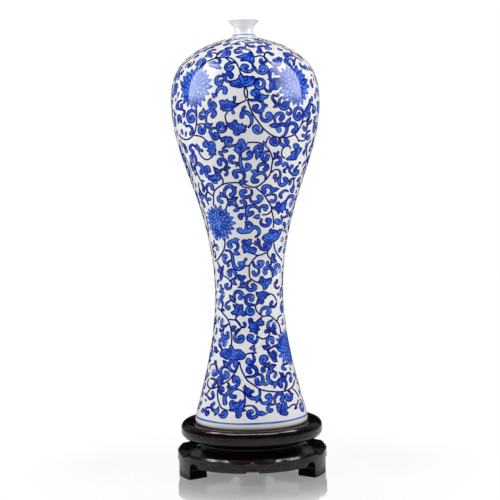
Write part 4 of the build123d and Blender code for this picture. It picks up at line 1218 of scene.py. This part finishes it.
standNodes = ("seat_disc", "waist_block", "base_plate", "foot_left", "foot_right", "foot_rear")
dowelNodes = ("disc_dowels", "plate_dowels", "foot_dowels")
for names, material in ((standNodes, lacquer), (dowelNodes, dowelWood)):
    for name in names:
        nodes[name].data.materials.clear()
        nodes[name].data.materials.append(material)
print("stand dressed")

# polished pale floor, white to the camera further out; in reflections a painted glow, bright near the stand
# and dimmer far out, with painted shade under the stand; metres
floorSet = {
    "size": 6, "colour": (0.86, 0.86, 0.865), "ior": 1.2,
    "rough": 0.5, "roughSpread": 0.1, "roughScale": 30.0,
    "sheetShare": 0.35, "underRadius": 0.012, "whiteReach": (0.13, 0.26),
    "glossRough": 0.06, "glossShare": 0.62, "glossLoss": 0.42, "glossReach": (0.085, 0.17),
    "nearMirror": 0.75, "farMirror": 0.16, "mirrorReach": 0.22, "shadeRadius": 0.066, "shadeEdge": 0.03,
}


def quadPiece(name, corners, material):
    mesh = bpy.data.meshes.new(name)
    mesh.from_pydata(corners, [], [(0, 1, 2, 3)])
    mesh.materials.append(material)
    piece = bpy.data.objects.new(name, mesh)
    scene.collection.objects.link(piece)
    return piece


def makeFloor():
    look = floorSet
    material, tree, place = newMaterial("paleSheet")
    away = tree.node("ShaderNodeVectorMath", {0: place}, operation="LENGTH")["Value"]
    path = tree.node("ShaderNodeLightPath")
    rough = look["rough"] + look["roughSpread"] * tree.noise(place, look["roughScale"])
    sheet = tree.node("ShaderNodeBsdfPrincipled", {
        "Base Color": look["colour"], "Roughness": rough, "IOR": look["ior"]})
    gloss = tree.node("ShaderNodeBsdfGlossy", {"Color": (1, 1, 1), "Roughness": look["glossRough"]})
    white = tree.glow()
    clear = away.ramp(look["underRadius"], 2 * look["underRadius"])
    lit = tree.mixShader(1 - clear * (1 - look["sheetShare"]), white, sheet)
    thin = look["glossShare"] - away.ramp(*look["glossReach"]) * look["glossLoss"]
    shiny = tree.mixShader(clear * thin, lit, gloss)
    seen = tree.mixShader(away.ramp(*look["whiteReach"]) * path["Is Camera Ray"], shiny, white)
    # painted reflection: glossy rays see the floor as a glow, brighter near the stand and dimmer far out
    far = away.ramp(look["mirrorReach"], 2 * look["mirrorReach"])
    # painted shade: no glow under the stand, so reflections of the floor there are black
    outsidePaintedShade = away.ramp(look["shadeRadius"], look["shadeRadius"] + look["shadeEdge"])
    mirrored = tree.glow((far * (look["farMirror"] - look["nearMirror"]) + look["nearMirror"]) * outsidePaintedShade)
    whole = tree.mixShader(path["Is Glossy Ray"], seen, mirrored)
    tree.node("ShaderNodeOutputMaterial", {"Surface": whole})
    edge = look["size"]
    corners = [(-edge, -edge, 0), (edge, -edge, 0), (edge, edge, 0), (-edge, edge, 0)]
    floor = quadPiece("floor", corners, material)
    return floor


# white card behind, seen only in the floor
cardSet = {"halfWidth": 0.45, "behind": 0.6, "low": 0.04, "high": 0.30}


def lightGroup(name, pieces):
    group = bpy.data.collections.new(name)
    for piece in pieces:
        group.objects.link(piece)
    return group


def makeCard(floor):
    wide, deep, low, high = cardSet.values()
    material, tree, _ = newMaterial("whiteCard")
    tree.node("ShaderNodeOutputMaterial", {"Surface": tree.glow()})
    corners = [(-wide, deep, low), (wide, deep, low), (wide, deep, high), (-wide, deep, high)]
    card = quadPiece("card", corners, material)
    card.visible_camera = card.visible_diffuse = card.visible_shadow = False
    card.light_linking.receiver_collection = lightGroup("seesCard", [floor])


# two soft boxes for the vase and the floor, brighter at their outer and upper parts
boxSet = {
    "watts": 33.0, "size": (1.37, 1.83), "reach": 0.98, "angle": 58.0, "height": 1.035, "least": 0.03,
    "outerRange": (0.3, 0.65), "upperRange": (0.11, 0.22),
}
# a weak lamp over everything, and lamps at its height for the stand alone: across, back, width, depth
topSet = {"watts": 1.5, "size": 0.9, "height": 1.5, "back": 0.25}
standLamps = [(0, -0.3, 1.5, 0.4), (-0.95, 0.26, 0.55, 0.5), (0.95, 0.26, 0.55, 0.5)]
standWatts = 38.0  # for a square metre of lamp


def areaLamp(name, size, watts, place):
    data = bpy.data.lights.new(name, "AREA")
    data.shape = "RECTANGLE"
    data.size, data.size_y = size
    data.energy = watts
    lamp = bpy.data.objects.new(name, data)
    lamp.location = place
    scene.collection.objects.link(lamp)
    return lamp


def makeLamps(floor):
    box = boxSet
    litByBoxes = lightGroup("litByBoxes", [floor, vaseBody, *paintedPieces])
    for side in (-1, 1):
        turn = math.radians(box["angle"]) * side
        place = (math.sin(turn) * box["reach"], -math.cos(turn) * box["reach"], box["height"])
        lamp = areaLamp("softBox", box["size"], box["watts"], place)
        lamp.data.use_nodes = True
        tree = Tree(lamp.data.node_tree)
        spot = tree.node("ShaderNodeSeparateXYZ", {0: tree.node("ShaderNodeNewGeometry")["Parametric"]})
        outer = spot[0] if side > 0 else 1 - spot[0]
        shine = outer.ramp(*box["outerRange"]) * spot[1].ramp(*box["upperRange"])
        glow = tree.node("ShaderNodeEmission", {"Strength": shine * (1 - box["least"]) + box["least"]})
        tree.node("ShaderNodeOutputLight", {"Surface": glow})
        aim = Vector((0, 0, box["height"])) - lamp.location
        lamp.rotation_euler = aim.to_track_quat("-Z", "Y").to_euler()
        lamp.light_linking.receiver_collection = litByBoxes
    place = (0, topSet["back"], topSet["height"])
    top = areaLamp("topBox", (topSet["size"], topSet["size"]), topSet["watts"], place)
    top.visible_glossy = False
    litByStandLamps = lightGroup("litByStandLights", [nodes[name] for name in standNodes])
    for across, back, wide, deep in standLamps:
        watts = standWatts * wide * deep
        lamp = areaLamp("standLight", (wide, deep), watts, (across, back, topSet["height"]))
        lamp.light_linking.receiver_collection = litByStandLamps


# white to the camera; fill is what lights, mirror is what the glaze and the lacquer reflect
worldSet = {
    "frontFill": 0.37, "frontMirror": 0.02, "backFill": 0.9, "backMirror": 0.18, "edgeMirror": 0.75,
    "edgeRange": (0.90, 0.985), "backRange": (0.1, 0.8),
}


def makeWorld():
    look = worldSet
    world = bpy.data.worlds.new("studio")
    scene.world = world
    world.use_nodes = True
    tree = Tree(world.node_tree)
    path = tree.node("ShaderNodeLightPath")
    seen, mirrored = path["Is Camera Ray"], path["Is Glossy Ray"]
    front = look["frontFill"] + mirrored * (look["frontMirror"] - look["frontFill"])
    toward = tree.node("ShaderNodeSeparateXYZ", {0: tree.node("ShaderNodeTexCoord")["Generated"]})["Y"]
    behind = look["backMirror"] + toward.ramp(*look["edgeRange"]) * (look["edgeMirror"] - look["backMirror"])
    back = look["backFill"] + mirrored * (behind - look["backFill"])
    fill = toward.ramp(*look["backRange"]) * (back - front) + front
    sky = tree.node("ShaderNodeBackground", {"Color": (1, 1, 1), "Strength": seen * (1 - fill) + fill})
    tree.node("ShaderNodeOutputWorld", {"Surface": sky})


floor = makeFloor()
makeCard(floor)
makeLamps(floor)
makeWorld()
print("stage and lights made")
